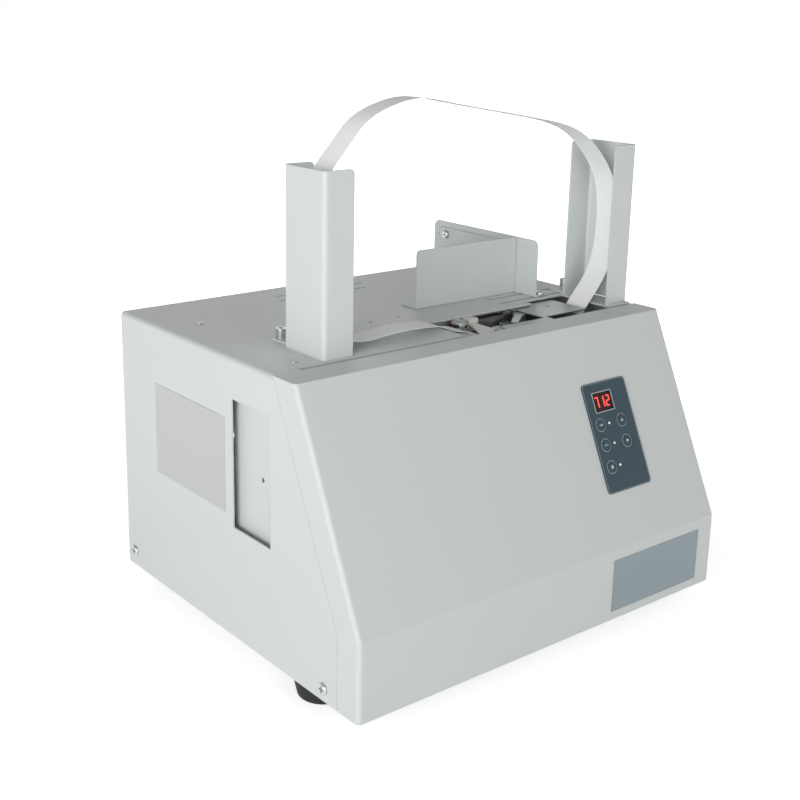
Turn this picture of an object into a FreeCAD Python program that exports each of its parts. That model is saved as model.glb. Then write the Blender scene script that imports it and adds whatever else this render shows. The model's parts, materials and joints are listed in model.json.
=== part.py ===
import FreeCAD, Part
import math
import os

# Banknote strapping machine, in millimetres.
# X runs to the machine's right, Y from the front to the back, Z up from the surface that it stands on.
# The model is built with Y = 0 at the lower front face. Each node is moved on export, so that the
# origin lies at the middle of the whole machine's footprint.

# Housing
width = 420.0
depth = 362.0
height = 248.0
foot_height = 18.0
knee_height = 67.0
slope_setback = 83.0
lip_depth = 29.0
sheet = 1.5
bend_outer = 4.0
bend_inner = bend_outer - sheet
side_front = 27.0
side_knee = 63.0
seam = 0.3
overrun = 5.0

z_base = foot_height
z_table = foot_height + height
z_under = z_table - sheet
x_side = width / 2
x_wall = x_side - sheet
y_lip = slope_setback + lip_depth
slope_lean = math.atan2(slope_setback, height - knee_height)

# Clearances and tolerances
running_gap = 0.05
sliding_gap = 0.3
touch = 0.01
tolerance_share = 1e-6
full_turn = 360.0


def vec(x, y, z):
    return FreeCAD.Vector(x, y, z)


AXIS_X = vec(1, 0, 0)
AXIS_Y = vec(0, 1, 0)
AXIS_Z = vec(0, 0, 1)
NODES = {}


def keep(name, shape):
    """Stores one node's shape, or a list of separate solids, under its name."""
    if isinstance(shape, list):
        shape = Part.makeCompound(shape)
    NODES[name] = shape


def box(x0, x1, y0, y1, z0, z1):
    return Part.makeBox(x1 - x0, y1 - y0, z1 - z0, vec(x0, y0, z0))


def rod_x(y, z, radius, x0, x1):
    return Part.makeCylinder(radius, x1 - x0, vec(x0, y, z), AXIS_X)


def rod_y(x, z, radius, y0, y1):
    return Part.makeCylinder(radius, y1 - y0, vec(x, y0, z), AXIS_Y)


def rod_z(x, y, radius, z0, z1):
    return Part.makeCylinder(radius, z1 - z0, vec(x, y, z0), AXIS_Z)


def prism(points, along):
    """Extrudes the closed polygon through the given points."""
    return Part.Face(Part.makePolygon(points + points[:1])).extrude(along)


def prism_x(points_yz, x0, x1):
    return prism([vec(x0, y, z) for y, z in points_yz], vec(x1 - x0, 0, 0))


def prism_y(points_xz, y0, y1):
    return prism([vec(x, y0, z) for x, z in points_xz], vec(0, y1 - y0, 0))


def prism_z(points_xy, z0, z1):
    return prism([vec(x, y, z0) for x, y in points_xy], vec(0, 0, z1 - z0))


def runs_along(edge, axis):
    """True for a straight edge that is parallel to the axis."""
    if not isinstance(edge.Curve, (Part.Line, Part.LineSegment)):
        return False
    start, end = [vertex.Point for vertex in (edge.Vertexes[0], edge.Vertexes[-1])]
    return (end - start).cross(axis).Length < (end - start).Length * tolerance_share


def at(value, target):
    return abs(value - target) < touch


def round_edges(shape, radius, wanted):
    edges = [edge for edge in shape.Edges if wanted(edge)]
    return shape.makeFillet(radius, edges)


def slot_z(x0, x1, y, half_width, z0, z1):
    """A round-ended slot along X, as a solid to cut."""
    middle = box(x0 + half_width, x1 - half_width, y - half_width, y + half_width, z0, z1)
    ends = [rod_z(x, y, half_width, z0, z1) for x in (x0 + half_width, x1 - half_width)]
    return middle.fuse(ends)


def mirrored(shape):
    return shape.mirror(vec(0, 0, 0), AXIS_X)


# Shares of a screw head
dome_share = 0.55
cross_share = 0.62
cross_width_share = 0.13
cross_floor_share = 0.4


def screw(radius, head_height, shank_radius, shank_length, base, outward):
    """A pan-head screw with a cross recess, its head's underside at base, facing outward."""
    head = Part.makeCylinder(radius, head_height, vec(0, 0, 0), AXIS_Z)
    head = round_edges(head, head_height * dome_share, lambda e: at(e.BoundBox.ZMin, head_height)
                       and at(e.BoundBox.ZMax, head_height))
    arm = radius * cross_share
    half = radius * cross_width_share
    floor = head_height * cross_floor_share
    for long_x, long_y in ((arm, half), (half, arm)):
        head = head.cut(box(-long_x, long_x, -long_y, long_y, floor, head_height + overrun))
    shank = Part.makeCylinder(shank_radius, shank_length, vec(0, 0, 0), AXIS_Z * -1)
    whole = head.fuse(shank).removeSplitter()
    whole.Placement = FreeCAD.Placement(base, FreeCAD.Rotation(AXIS_Z, outward))
    return whole


# Head slot in the table, with a step in its back edge at the right
slot_left = -8.0
slot_right_margin = 32.0
slot_right = x_side - slot_right_margin
slot_front = 115.0
slot_back = 168.0
slot_step_x = 126.0
slot_step = 10.0
head_slot = [(slot_left, slot_back), (slot_left, slot_front), (slot_right, slot_front),
             (slot_right, slot_back + slot_step), (slot_step_x, slot_back + slot_step),
             (slot_step_x, slot_back)]

# Side window, side screws and blank side plate
window_top_margin = 34.7
window = (117.0, 172.5, 119.0, z_table - window_top_margin)
window_plate_inset = 6.5
window_plate_front = 5.0
window_plate_rear = 9.5
window_plate_below = 12.0
window_plate_above = 5.0
window_hole_rear = 33.5
window_hole_low = 50.5
side_screw_rear = 13.0
side_screw_places = ((44.0, 29.0), (depth - side_screw_rear, 33.0))
side_screw_radius = 5.2
side_screw_head = 2.4
side_screw_shank = 2.0
side_screw_length = 8.0
plate_thickness = 0.5
side_plate_drop = 53.0
side_plate_height = 84.0
side_plate_high = z_table - side_plate_drop
side_plate = (184.0, 300.0, side_plate_high - side_plate_height, side_plate_high)
front_plate_margin = 22.0
front_plate_width = 116.0
front_plate_right = x_side - front_plate_margin
front_plate = (front_plate_right - front_plate_width, front_plate_right, 26.0, 75.0)

# Table details: seam to the lip, vent slots, stop slots and small holes
seam_left_margin = 27.0
seam_right_margin = 8.0
seam_slot = (-x_side + seam_left_margin, x_side - seam_right_margin, y_lip, 116.0)
vent_rear = (31.0, 48.0)
vent_slots = ((-60.0, 45.0, depth - vent_rear[0]), (-66.0, 39.0, depth - vent_rear[1]))
vent_half = 1.6
stop_margin = 63.0
stop_x = x_side - stop_margin
stop_slot_reach = 47.0
stop_slot_margins = (3.0, 7.0)
stop_slots = ((stop_x - stop_slot_reach, x_side - stop_slot_margins[0], 186.0),
              (stop_x - stop_slot_reach, x_side - stop_slot_margins[1], 203.0))
stop_slot_half = 2.1
right_hole_margin = 28.0
small_holes = ((-46.0, 199.0), (-13.0, 200.0), (x_side - right_hole_margin, 118.8))
small_hole = 1.6
table_screw_margins = (36.0, 35.0, 19.0)
table_screw_rear = 80.0
table_screw_places = ((-x_side + table_screw_margins[0], depth - table_screw_rear),
                      (-x_side + table_screw_margins[1], 134.0),
                      (x_side - table_screw_margins[2], depth - table_screw_rear))
table_screw_radius = 3.2
table_screw_head = 1.3


def housing_shell():
    outer = prism_x([(side_front, z_base), (side_front, z_base + side_knee), (y_lip + seam, z_table),
                     (depth, z_table), (depth, z_base)], -x_side, x_side)
    outer = round_edges(outer, bend_outer, lambda e: runs_along(e, AXIS_Y)
                        and at(e.BoundBox.ZMax, z_table))
    inner = box(-x_wall, x_wall, -overrun, depth + overrun, z_base - overrun, z_under)
    inner = round_edges(inner, bend_inner, lambda e: runs_along(e, AXIS_Y)
                        and at(e.BoundBox.ZMax, z_under))
    shell = outer.cut(inner)
    cuts = [prism_z(head_slot, z_under - overrun, z_table + overrun)]
    x0, x1, y0, y1 = seam_slot
    cuts.append(box(x0, x1, y0, y1, z_under - overrun, z_table + overrun))
    for x0, x1, y in vent_slots:
        cuts.append(slot_z(x0, x1, y, vent_half, z_under - overrun, z_table + overrun))
    for x0, x1, y in stop_slots:
        cuts.append(slot_z(x0, x1, y, stop_slot_half, z_under - overrun, z_table + overrun))
    for x, y in small_holes:
        cuts.append(rod_z(x, y, small_hole, z_under - overrun, z_table + overrun))
    y0, y1, z0, z1 = window
    cuts.append(box(-x_side - overrun, -x_wall + overrun, y0, y1, z0, z1))
    for y, z in side_screw_places:
        cuts.append(rod_x(y, z, side_screw_shank, -x_side - overrun, x_side + overrun))
    for x, y in table_screw_places + post_screw_places():
        cuts.append(rod_z(x, y, side_screw_shank, z_under - overrun, z_table + overrun))
    return shell.cut(cuts)


# Base pan and rear panel
pan_wall = 2.0
pan_rise = 22.0
rear_y = depth - sheet
fan_margin = 115.0
fan_x = -x_side + fan_margin
fan_z = 150.0
fan_size = 80.0
fan_grille_rings = 4
fan_bar = 2.4
inlet_margin = 60.0
inlet_x = x_side - inlet_margin
inlet_z = 62.0
inlet_body = (27.0, 19.5)
rocker_pitch = 48.0
rocker_x = inlet_x - rocker_pitch
rocker_body = (19.0, 13.0)
fuse_pitch = 36.0
fuse_x = rocker_x - fuse_pitch
fuse_radius = 6.2
louvre_count = 7
louvre_length = 70.0
louvre_half = 1.8
louvre_pitch = 9.0
louvre_drop = 101.0
louvre_low = z_table - louvre_drop
louvre_x = 40.0


def base_pan():
    outer = box(-x_wall, x_wall, sheet, rear_y, z_base, z_base + pan_rise)
    outer = round_edges(outer, bend_outer, lambda e: runs_along(e, AXIS_Z))
    inner = box(-x_wall + pan_wall, x_wall - pan_wall, sheet + pan_wall, rear_y - pan_wall,
                z_base + pan_wall, z_base + pan_rise + overrun)
    inner = round_edges(inner, bend_outer - pan_wall, lambda e: runs_along(e, AXIS_Z))
    holes = [rod_x(y, z, side_screw_shank, -x_side, x_side) for y, z in side_screw_places]
    holes += [rod_z(x, y, foot_screw_shank, z_base - overrun, z_base + overrun)
              for x, y in foot_places]
    holes += [rod_z(x, y, side_screw_shank, z_base - overrun, z_base + overrun)
              for x, y in frame_screw_places]
    return outer.cut(inner).cut(holes)


def rear_panel():
    panel = box(-x_wall, x_wall, rear_y, depth, z_base, z_under)
    panel = round_edges(panel, bend_inner, lambda e: runs_along(e, AXIS_Y)
                        and at(e.BoundBox.ZMax, z_under))
    y0 = rear_y - overrun
    y1 = depth + overrun
    cuts = []
    ring_step = fan_size / 2 / (fan_grille_rings + 1)
    for ring in range(1, fan_grille_rings + 1):
        outer = ring * ring_step
        slot = rod_y(fan_x, fan_z, outer, y0, y1)
        slot = slot.cut(rod_y(fan_x, fan_z, outer - ring_step + fan_bar, y0, y1))
        for long_x, long_z in ((fan_size, fan_bar), (fan_bar, fan_size)):
            slot = slot.cut(box(fan_x - long_x / 2, fan_x + long_x / 2, y0, y1,
                                fan_z - long_z / 2, fan_z + long_z / 2))
        cuts.append(slot)
    for half, x in ((inlet_body, inlet_x), (rocker_body, rocker_x)):
        cuts.append(box(x - half[0] / 2, x + half[0] / 2, y0, y1, inlet_z - half[1] / 2,
                        inlet_z + half[1] / 2))
    cuts.append(rod_y(fuse_x, inlet_z, fuse_radius, y0, y1))
    for row in range(louvre_count):
        z = louvre_low + row * louvre_pitch
        cuts.append(box(louvre_x, louvre_x + louvre_length, y0, y1, z - louvre_half, z + louvre_half))
    return panel.cut(cuts)


# Rubber feet and their screws
foot_margin = 26.0
rear_foot_margin = 52.0
foot_front = 80.0
foot_rear = 37.0
foot_places = [(side * (x_side - margin), y) for margin, y in ((foot_margin, foot_front),
                                                              (rear_foot_margin, depth - foot_rear))
               for side in (-1, 1)]
foot_top = 25.0
foot_bottom = 21.0
foot_recess = 6.0
foot_recess_depth = 9.0
foot_screw_shank = 2.5
foot_screw_head = 5.0
foot_screw_head_height = 3.2
foot_edge = 3.0


def foot(x, y):
    body = Part.makeCone(foot_bottom, foot_top, foot_height, vec(x, y, 0), AXIS_Z)
    body = round_edges(body, foot_edge, lambda e: at(e.BoundBox.ZMax, 0))
    recess = rod_z(x, y, foot_recess, -overrun, foot_recess_depth)
    return body.cut(recess).cut(rod_z(x, y, foot_screw_shank, -overrun, foot_height + overrun))


def foot_screw(x, y):
    return screw(foot_screw_head, foot_screw_head_height, foot_screw_shank,
                 foot_height + pan_wall - foot_recess_depth + pan_wall,
                 vec(x, y, foot_recess_depth), AXIS_Z * -1)


# Front cover: lower face, slope and top lip, with a flange down each side
def cover_outline(inset):
    """The cover's Y-Z outline, moved inwards by inset."""
    top_shift = inset * (1 - math.sin(slope_lean)) / math.cos(slope_lean)
    knee_shift = inset * math.tan(slope_lean / 2)
    return [(inset, z_base), (inset, z_base + knee_height - knee_shift),
            (slope_setback + top_shift, z_table - inset), (y_lip, z_table - inset)]


def front_cover():
    back = [(side_front - seam, z_base + side_knee), (side_front - seam, z_base)]
    outer = prism_x(cover_outline(0) + back, -x_side, x_side)
    outer = round_edges(outer, bend_outer, lambda e: not runs_along(e, AXIS_X)
                        and e.BoundBox.ZMax > z_base + touch and e.BoundBox.YMin < slope_setback
                        and not along_back(e))
    inner_points = cover_outline(sheet)
    inner_points[0] = (sheet, z_base - overrun)
    inner_points[-1] = (y_lip + overrun, z_table - sheet)
    inner = prism_x(inner_points + [(y_lip + overrun, z_base - overrun)], -x_wall, x_wall)
    cover = outer.cut(inner)
    return cover.cut(panel_cuts())


def along_back(edge):
    """True for the edges of the side flanges' rear ends."""
    box_of = edge.BoundBox
    low = (box_of.YMin > side_front - seam - touch) and box_of.ZMax < z_base + side_knee + touch
    bottom = at(box_of.ZMax, z_base)
    slant = at(box_of.ZMin, z_base + side_knee)
    return low or bottom or slant


# Control panel, in the slope's own frame: x across, y up the slope from the knee, z outwards
slope_frame = FreeCAD.Placement(vec(0, 0, z_base + knee_height),
                                FreeCAD.Rotation(AXIS_X, math.degrees(math.pi / 2 - slope_lean)))
panel_margin = 72.0
panel_width = 56.0
panel_right = x_side - panel_margin
panel_left = panel_right - panel_width
panel_low = 47.0
panel_high = 146.0
panel_corner = 3.5
panel_thickness = 1.2
panel_rim = 4.0
display_inset = 10.6
display_width = 23.4
display_left = panel_left + display_inset
display_right = display_left + display_width
display_low = 119.5
display_high = 136.5
display_depth = 0.9
lens_gap = 0.1
key_insets = (11.7, 39.0)
left_keys_x = panel_left + key_insets[0]
right_keys_x = panel_left + key_insets[1]
key_places = {"feed_key": (left_keys_x, 108.0), "length_key": (left_keys_x, 89.7),
              "reset_key": (left_keys_x, 69.8), "up_key": (right_keys_x, 107.8),
              "down_key": (right_keys_x, 88.6)}
key_radius = 5.3
key_proud = 0.7
key_travel = 0.8
key_flange = 1.2
key_flange_thickness = 1.0
key_stem = 1.8
key_groove = 0.35
key_groove_inner = 4.1
key_groove_outer = 4.7
led_inset = 22.6
led_x = panel_left + led_inset
led_radius = 1.1
led_proud = 0.3
board_margin = 6.0
board_thickness = 1.6
board_back = 12.0
standoff_radius = 2.8
standoff_inset = 3.4
tact_side = 6.0
tact_height = 5.0
tact_plunger = 1.7
digits = "712"
digit_height = 10.0
digit_width = 5.2
digit_pitch = 7.1
segment = 1.1
segment_gap = 0.12
segment_depth = 0.3
SEGMENTS = {"7": "abc", "1": "bc", "2": "abged"}


def on_slope(shape):
    return shape.transformed(slope_frame.toMatrix())


def disc(x, y, radius, z0, z1):
    return rod_z(x, y, radius, z0, z1)


def rounded_plate(x0, x1, y0, y1, z0, z1, radius):
    plate = box(x0, x1, y0, y1, z0, z1)
    return round_edges(plate, radius, lambda e: runs_along(e, AXIS_Z))


def panel_cuts():
    """The opening behind the control panel, through the slope."""
    opening = box(panel_left + panel_rim, panel_right - panel_rim, panel_low + panel_rim,
                  panel_high - panel_rim, -sheet - overrun, overrun)
    return on_slope(opening)


def control_panel():
    plate = rounded_plate(panel_left, panel_right, panel_low, panel_high, 0, panel_thickness, panel_corner)
    cuts = [box(display_left, display_right, display_low, display_high, -overrun, overrun)]
    for x, y in key_places.values():
        cuts.append(disc(x, y, key_radius + sliding_gap, -overrun, overrun))
    for name in ("feed_key", "length_key", "reset_key"):
        cuts.append(disc(led_x, key_places[name][1], led_radius, -overrun, overrun))
    return on_slope(plate.cut(cuts))


def display_window():
    z1 = panel_thickness
    lens = box(display_left, display_right, display_low, display_high, z1 - display_depth, z1)
    return on_slope(lens)


module_front = panel_thickness - display_depth - segment_depth - lens_gap


def display_module():
    return on_slope(box(display_left + lens_gap, display_right - lens_gap, display_low + lens_gap,
                        display_high - lens_gap, -board_back, module_front))


def digit_segments(x, y, figure):
    """The lit bars of one figure, whose lower left corner is at x, y."""
    half = segment / 2
    mid = y + digit_height / 2
    top = y + digit_height
    right = x + digit_width
    flat = {"a": top - half, "g": mid, "d": y + half}
    upright = {"f": (x, mid, top), "b": (right - segment, mid, top), "e": (x, y, mid),
               "c": (right - segment, y, mid)}
    z0 = module_front
    solids = []
    for name in SEGMENTS[figure]:
        if name in flat:
            centre = flat[name]
            solids.append(box(x + segment + segment_gap, right - segment - segment_gap,
                              centre - half, centre + half, z0, z0 + segment_depth))
        else:
            left, low, high = upright[name]
            solids.append(box(left, left + segment, low + segment_gap, high - segment_gap,
                              z0, z0 + segment_depth))
    return solids


def display_digits():
    span = digit_pitch * (len(digits) - 1) + digit_width
    x = (display_left + display_right - span) / 2
    y = (display_low + display_high - digit_height) / 2
    solids = []
    for place, figure in enumerate(digits):
        solids += digit_segments(x + place * digit_pitch, y, figure)
    return [on_slope(solid) for solid in solids]


def key(x, y):
    top = panel_thickness + key_proud
    cap = disc(x, y, key_radius, -sliding_gap - key_flange_thickness, top)
    cap = round_edges(cap, key_groove, lambda e: at(e.BoundBox.ZMin, top) and at(e.BoundBox.ZMax, top))
    groove = disc(x, y, key_groove_outer, top - key_groove, top + overrun)
    groove = groove.cut(disc(x, y, key_groove_inner, top - key_groove, top + overrun))
    flange = disc(x, y, key_radius + key_flange, -sliding_gap - key_flange_thickness, -sliding_gap)
    stem_end = -board_back + tact_height + key_travel + sliding_gap
    stem = disc(x, y, key_stem, stem_end, -sliding_gap)
    return on_slope(cap.cut(groove).fuse([flange, stem]).removeSplitter())


def status_leds():
    return [on_slope(disc(led_x, key_places[name][1], led_radius, -board_back, panel_thickness + led_proud))
            for name in ("feed_key", "length_key", "reset_key")]


def control_board():
    x0 = panel_left - board_margin
    x1 = panel_right + board_margin
    y0 = panel_low - board_margin
    y1 = panel_high + board_margin
    board = box(x0, x1, y0, y1, -board_back - board_thickness, -board_back)
    parts = [board]
    for x in (x0 + standoff_inset, x1 - standoff_inset):
        for y in (y0 + standoff_inset, y1 - standoff_inset):
            parts.append(disc(x, y, standoff_radius, -board_back, -sheet))
    half = tact_side / 2
    for x, y in key_places.values():
        parts.append(box(x - half, x + half, y - half, y + half, -board_back,
                         -board_back + tact_height - tact_plunger))
        parts.append(disc(x, y, key_stem, -board_back, -board_back + tact_height))
    return on_slope(parts[0].fuse(parts[1:]).removeSplitter())


# Arch posts: U channels that open towards each other, on foot tabs
right_post_margin = 1.0
right_post_x = x_side - right_post_margin
post_front = 121.0
post_back = 177.0
post_flange = 29.5
post_height = 152.0
post_corner = 4.0
tab_length = 26.0
tab_width = 26.0
front_tab_length = 7.0
tab_screw_radius = 4.6
tab_screw_head = 9.0
tab_screw_shank = 2.0
tab_screw_inset = 8.0
tab_screw_x = tab_screw_inset + sheet
tab_screw_y = post_back + tab_length - tab_screw_inset
socket_share = 0.55
socket_depth_share = 0.55


def post(front_tab):
    """A post whose web's outer face is at x = 0 and whose flanges run along +X."""
    outer = box(0, post_flange, post_front, post_back, z_table, z_table + post_height)
    outer = round_edges(outer, bend_outer, lambda e: runs_along(e, AXIS_Z) and at(e.BoundBox.XMin, 0))
    inner = box(sheet, post_flange + overrun, post_front + sheet, post_back - sheet,
                z_table - overrun, z_table + post_height + overrun)
    inner = round_edges(inner, bend_inner, lambda e: runs_along(e, AXIS_Z) and at(e.BoundBox.XMin, sheet))
    channel = outer.cut(inner)
    channel = round_edges(channel, post_corner, lambda e: runs_along(e, AXIS_Y)
                          and at(e.BoundBox.XMin, post_flange) and at(e.BoundBox.ZMax, z_table + post_height))
    tab = box(bend_outer, tab_width, post_back - sheet, post_back + tab_length, z_table, z_table + sheet)
    tab = round_edges(tab, post_corner, lambda e: runs_along(e, AXIS_Z) and e.BoundBox.YMin > post_back)
    whole = channel.fuse(tab)
    if front_tab:
        whole = whole.fuse(box(bend_outer, tab_width, post_front - front_tab_length, post_front + sheet,
                               z_table, z_table + sheet))
    whole = whole.removeSplitter()
    return whole.cut(rod_z(tab_screw_x, tab_screw_y, tab_screw_shank, z_table - overrun, z_table + overrun))


def post_screw_places():
    return ((left_post_x + tab_screw_x, tab_screw_y), (right_post_x - tab_screw_x, tab_screw_y))


def cap_screw(x, y):
    """A tall knurled cap screw with a hexagon socket, standing on a foot tab."""
    seat = z_table + sheet
    head = rod_z(x, y, tab_screw_radius, seat, seat + tab_screw_head)
    socket = Part.Face(Part.makePolygon(hexagon(tab_screw_radius * socket_share)))
    socket = socket.extrude(vec(0, 0, tab_screw_head))
    socket.translate(vec(x, y, seat + tab_screw_head * socket_depth_share))
    head = head.cut(socket)
    shank = rod_z(x, y, tab_screw_shank, seat - tab_screw_head, seat)
    return head.fuse(shank).removeSplitter()


# Paper band: one loop over the posts, from the head and back along the table into the head
band_width = 25.0
band_thickness = 0.3
band_middle = 150.0
band_post_gap = 2.5
band_left_gap = 5.445
band_reach = right_post_x - sheet - band_post_gap
band_rise = 202.5
band_shares = [(0.805, -0.055), (0.844, 0.0), (0.898, 0.059), (0.956, 0.138), (0.99, 0.242),
               (1.0, 0.346), (0.998, 0.444), (0.983, 0.528), (0.956, 0.598), (0.902, 0.674),
               (0.839, 0.738), (0.771, 0.79), (0.693, 0.83), (0.546, 0.872), (0.41, 0.897),
               (0.2, 0.933), (-0.059, 0.978), (-0.224, 1.0), (-0.376, 0.973), (-0.493, 0.919),
               (-0.595, 0.815), (-0.66, 0.74), (-0.716, 0.578), (-0.731, 0.405), (-0.712, 0.25),
               (-0.663, 0.12), (-0.585, 0.045), (-0.488, 0.022), (-0.39, 0.027), (-0.268, 0.035),
               (-0.141, 0.029), (-0.085, 0.0217), (-0.044, 0.007), (-0.01, -0.0079),
               (0.034, -0.0188), (0.0732, -0.0257)]
left_post_x = band_reach * min(x for x, z in band_shares) - band_left_gap
ribbon_samples = 3
band_front = band_middle - band_width / 2
band_back = band_middle + band_width / 2


def ribbon(points, thickness, y0, y1):
    """A thin band whose middle line runs smoothly through the X-Z points."""
    middle = Part.BSplineCurve()
    middle.interpolate([vec(x, y0, z) for x, z in points])
    count = ribbon_samples * (len(points) - 1)
    first, last = middle.FirstParameter, middle.LastParameter
    sides = [[], []]
    for step in range(count + 1):
        place = first + (last - first) * step / count
        point = middle.value(place)
        normal = middle.tangent(place)[0].cross(AXIS_Y)
        normal.normalize()
        sides[0].append(point + normal * (thickness / 2))
        sides[1].append(point - normal * (thickness / 2))
    curves = []
    for side in sides:
        curve = Part.BSplineCurve()
        curve.interpolate(side)
        curves.append(curve.toShape())
    ends = [Part.makeLine(sides[0][0], sides[1][0]), Part.makeLine(sides[0][-1], sides[1][-1])]
    outline = Part.Wire(Part.__sortEdges__([curves[0], ends[1], curves[1], ends[0]]))
    return Part.Face(outline).extrude(vec(0, y1 - y0, 0))


def band_arch():
    points = [(x * band_reach, z_table + z * band_rise) for x, z in band_shares]
    return ribbon(points, band_thickness, band_front, band_back)


# Banknote stop: a side plate that slides across the table, and a face plate that slides along it
stop_sheet = 1.5
stop_height = 56.0
stop_front = 184.0
stop_rear = 26.0
stop_back = depth - stop_rear
stop_foot_width = 20.0
stop_corner = 7.0
face_reach = 129.0
face_left = stop_x - face_reach
face_y = 212.0
face_foot = 22.0
face_corner = 4.0
face_lift = 0.3
arm_height = 14.0
arm_level = 43.0
arm_rear = 12.0
arm_end = stop_back - arm_rear
arm_slot_rear = 8.0
arm_slot = (222.0, stop_back - arm_slot_rear)
arm_slot_half = 2.2
clamp_rear = 21.0
clamp_y = stop_back - clamp_rear
clamp_radius = 4.4
clamp_head = 3.0
clamp_shank = 2.0
clamp_length = 9.0
nut_radius = 4.0
nut_height = 3.0
pilot_rear = 5.0
pilot_y = stop_back - pilot_rear
pilot_hole = 1.2
stop_bolt_inset = 9.0
stop_bolt_x = stop_x + stop_bolt_inset
z_stop = z_table + stop_height


def stop_side_plate():
    plate = box(stop_x, stop_x + stop_sheet, stop_front, stop_back, z_table + face_lift, z_stop)
    foot_plate = box(stop_x, stop_x + stop_foot_width, stop_front, stop_back, z_table + face_lift,
                     z_table + face_lift + stop_sheet)
    plate = plate.fuse(foot_plate).removeSplitter()
    plate = round_edges(plate, stop_corner, lambda e: runs_along(e, AXIS_X)
                        and at(e.BoundBox.ZMax, z_stop))
    y0, y1 = arm_slot
    slot = box(stop_x - overrun, stop_x + overrun, y0, y1, z_table + arm_level - arm_slot_half,
               z_table + arm_level + arm_slot_half)
    holes = [slot, rod_x(pilot_y, z_table + arm_level, pilot_hole, stop_x - overrun, stop_x + overrun)]
    holes += [rod_z(stop_bolt_x, y, clamp_shank + sliding_gap, z_table - overrun, z_table + overrun)
              for x0, x1, y in stop_slots]
    return plate.cut(holes)


def stop_face_plate():
    right = stop_x - sliding_gap
    low = z_table + face_lift
    face = box(face_left, right, face_y, face_y + stop_sheet, low, z_stop)
    face = round_edges(face, face_corner, lambda e: runs_along(e, AXIS_Y)
                       and at(e.BoundBox.ZMin, z_stop) and at(e.BoundBox.XMax, face_left)
                       or (runs_along(e, AXIS_Y) and at(e.BoundBox.XMin, face_left)
                           and at(e.BoundBox.ZMax, z_stop)))
    foot_plate = box(face_left, right - stop_sheet, face_y, face_y + face_foot, low, low + stop_sheet)
    arm = box(right - stop_sheet, right, face_y, arm_end, z_table + arm_level - arm_height / 2,
              z_table + arm_level + arm_height / 2)
    whole = face.fuse([foot_plate, arm]).removeSplitter()
    hole = rod_x(clamp_y, z_table + arm_level, clamp_shank + sliding_gap, right - overrun, right + overrun)
    return whole.cut(hole)


def clamp_screw():
    """The screw through the arm and the side plate's slot, with its nut behind."""
    left = stop_x - sliding_gap - stop_sheet
    body = screw(clamp_radius, clamp_head, clamp_shank, clamp_length,
                 vec(left, clamp_y, z_table + arm_level), AXIS_X * -1)
    nut = Part.Face(Part.makePolygon(hexagon(nut_radius))).extrude(vec(0, 0, nut_height))
    nut = nut.cut(Part.makeCylinder(clamp_shank, nut_height + overrun))
    nut.Placement = FreeCAD.Placement(vec(stop_x + stop_sheet + sliding_gap, clamp_y, z_table + arm_level),
                                      FreeCAD.Rotation(AXIS_Z, AXIS_X))
    return [body, nut]


def hexagon(radius):
    points = [vec(radius * math.cos(turn * math.pi / 3), radius * math.sin(turn * math.pi / 3), 0)
              for turn in range(6)]
    return points + points[:1]


def stop_bolts():
    """The two bolts that hold the side plate's foot, through the table's slots."""
    seat = z_table + face_lift + stop_sheet
    solids = []
    for x0, x1, y in stop_slots:
        length = seat - z_under + sliding_gap + nut_height
        bolt = screw(clamp_radius, clamp_head, clamp_shank, length, vec(stop_bolt_x, y, seat), AXIS_Z)
        nut = Part.Face(Part.makePolygon(hexagon(nut_radius))).extrude(vec(0, 0, nut_height))
        nut = nut.cut(Part.makeCylinder(clamp_shank, nut_height + overrun))
        nut.translate(vec(stop_bolt_x, y, z_under - sliding_gap - nut_height))
        solids += [bolt, nut]
    return solids


# Head frame: a channel that stands on the pan and carries everything under the head slot
frame_left_margin = 2.0
frame_right_margin = 6.0
frame_left = slot_left - frame_left_margin
frame_right = slot_right - frame_right_margin
cheek = 3.0
cheek_front = 119.0
cheek_back = 170.0
cheek_drop = 7.0
z_pan = z_base + pan_wall
frame_screw_radius = 4.0
frame_screw_height = 2.6
frame_screw_inset = 14.0
frame_screw_places = [(x, y) for y in (133.0, 156.0)
                      for x in (frame_left + frame_screw_inset, frame_right - frame_screw_inset)]

# Camshaft, its cams and the belt drive
cam_x = 70.0
cam_drop = 96.0
cam_z = z_table - cam_drop
cam_shaft_radius = 6.0
cam_base = 16.0
cam_lift = 6.0
cam_turn = math.pi / 2
cam_rise = math.radians(120)
cam_fall = math.radians(80)
cam_width = 8.0
cam_slices = (126.0, 138.0, 150.0, 162.0)
cam_steps = 72
follower_gap = 0.45
bush_wall = 3.0
bush_length = 5.0
bush_rear_shift = 1.0
pulley_front = 98.0
pulley_width = 10.0
pulley_flange = 1.5
pulley_flange_rise = 3.0
cam_pulley_radius = 30.0
motor_pulley_radius = 12.0
belt_thickness = 1.5
motor_x = 118.0
motor_shaft_radius = 5.0
gearbox_half = 29.0
gearbox_length = 32.0
motor_radius = 31.0
motor_length = 85.0
motor_cap = 6.0
motor_rib = 2.0

# Windows in the head frame's cheeks: beside the belt drive, and under the feed
window_floor = 12.0
right_window_drop = 45.0
right_window_margin = 12.0
left_window_inset = 10.0
left_window_rise = 20.0
frame_windows = ((88.0, frame_right - right_window_margin, z_pan + window_floor, cam_z - right_window_drop),
                 (frame_left + left_window_inset, 50.0, z_pan + window_floor, cam_z + left_window_rise))

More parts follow.
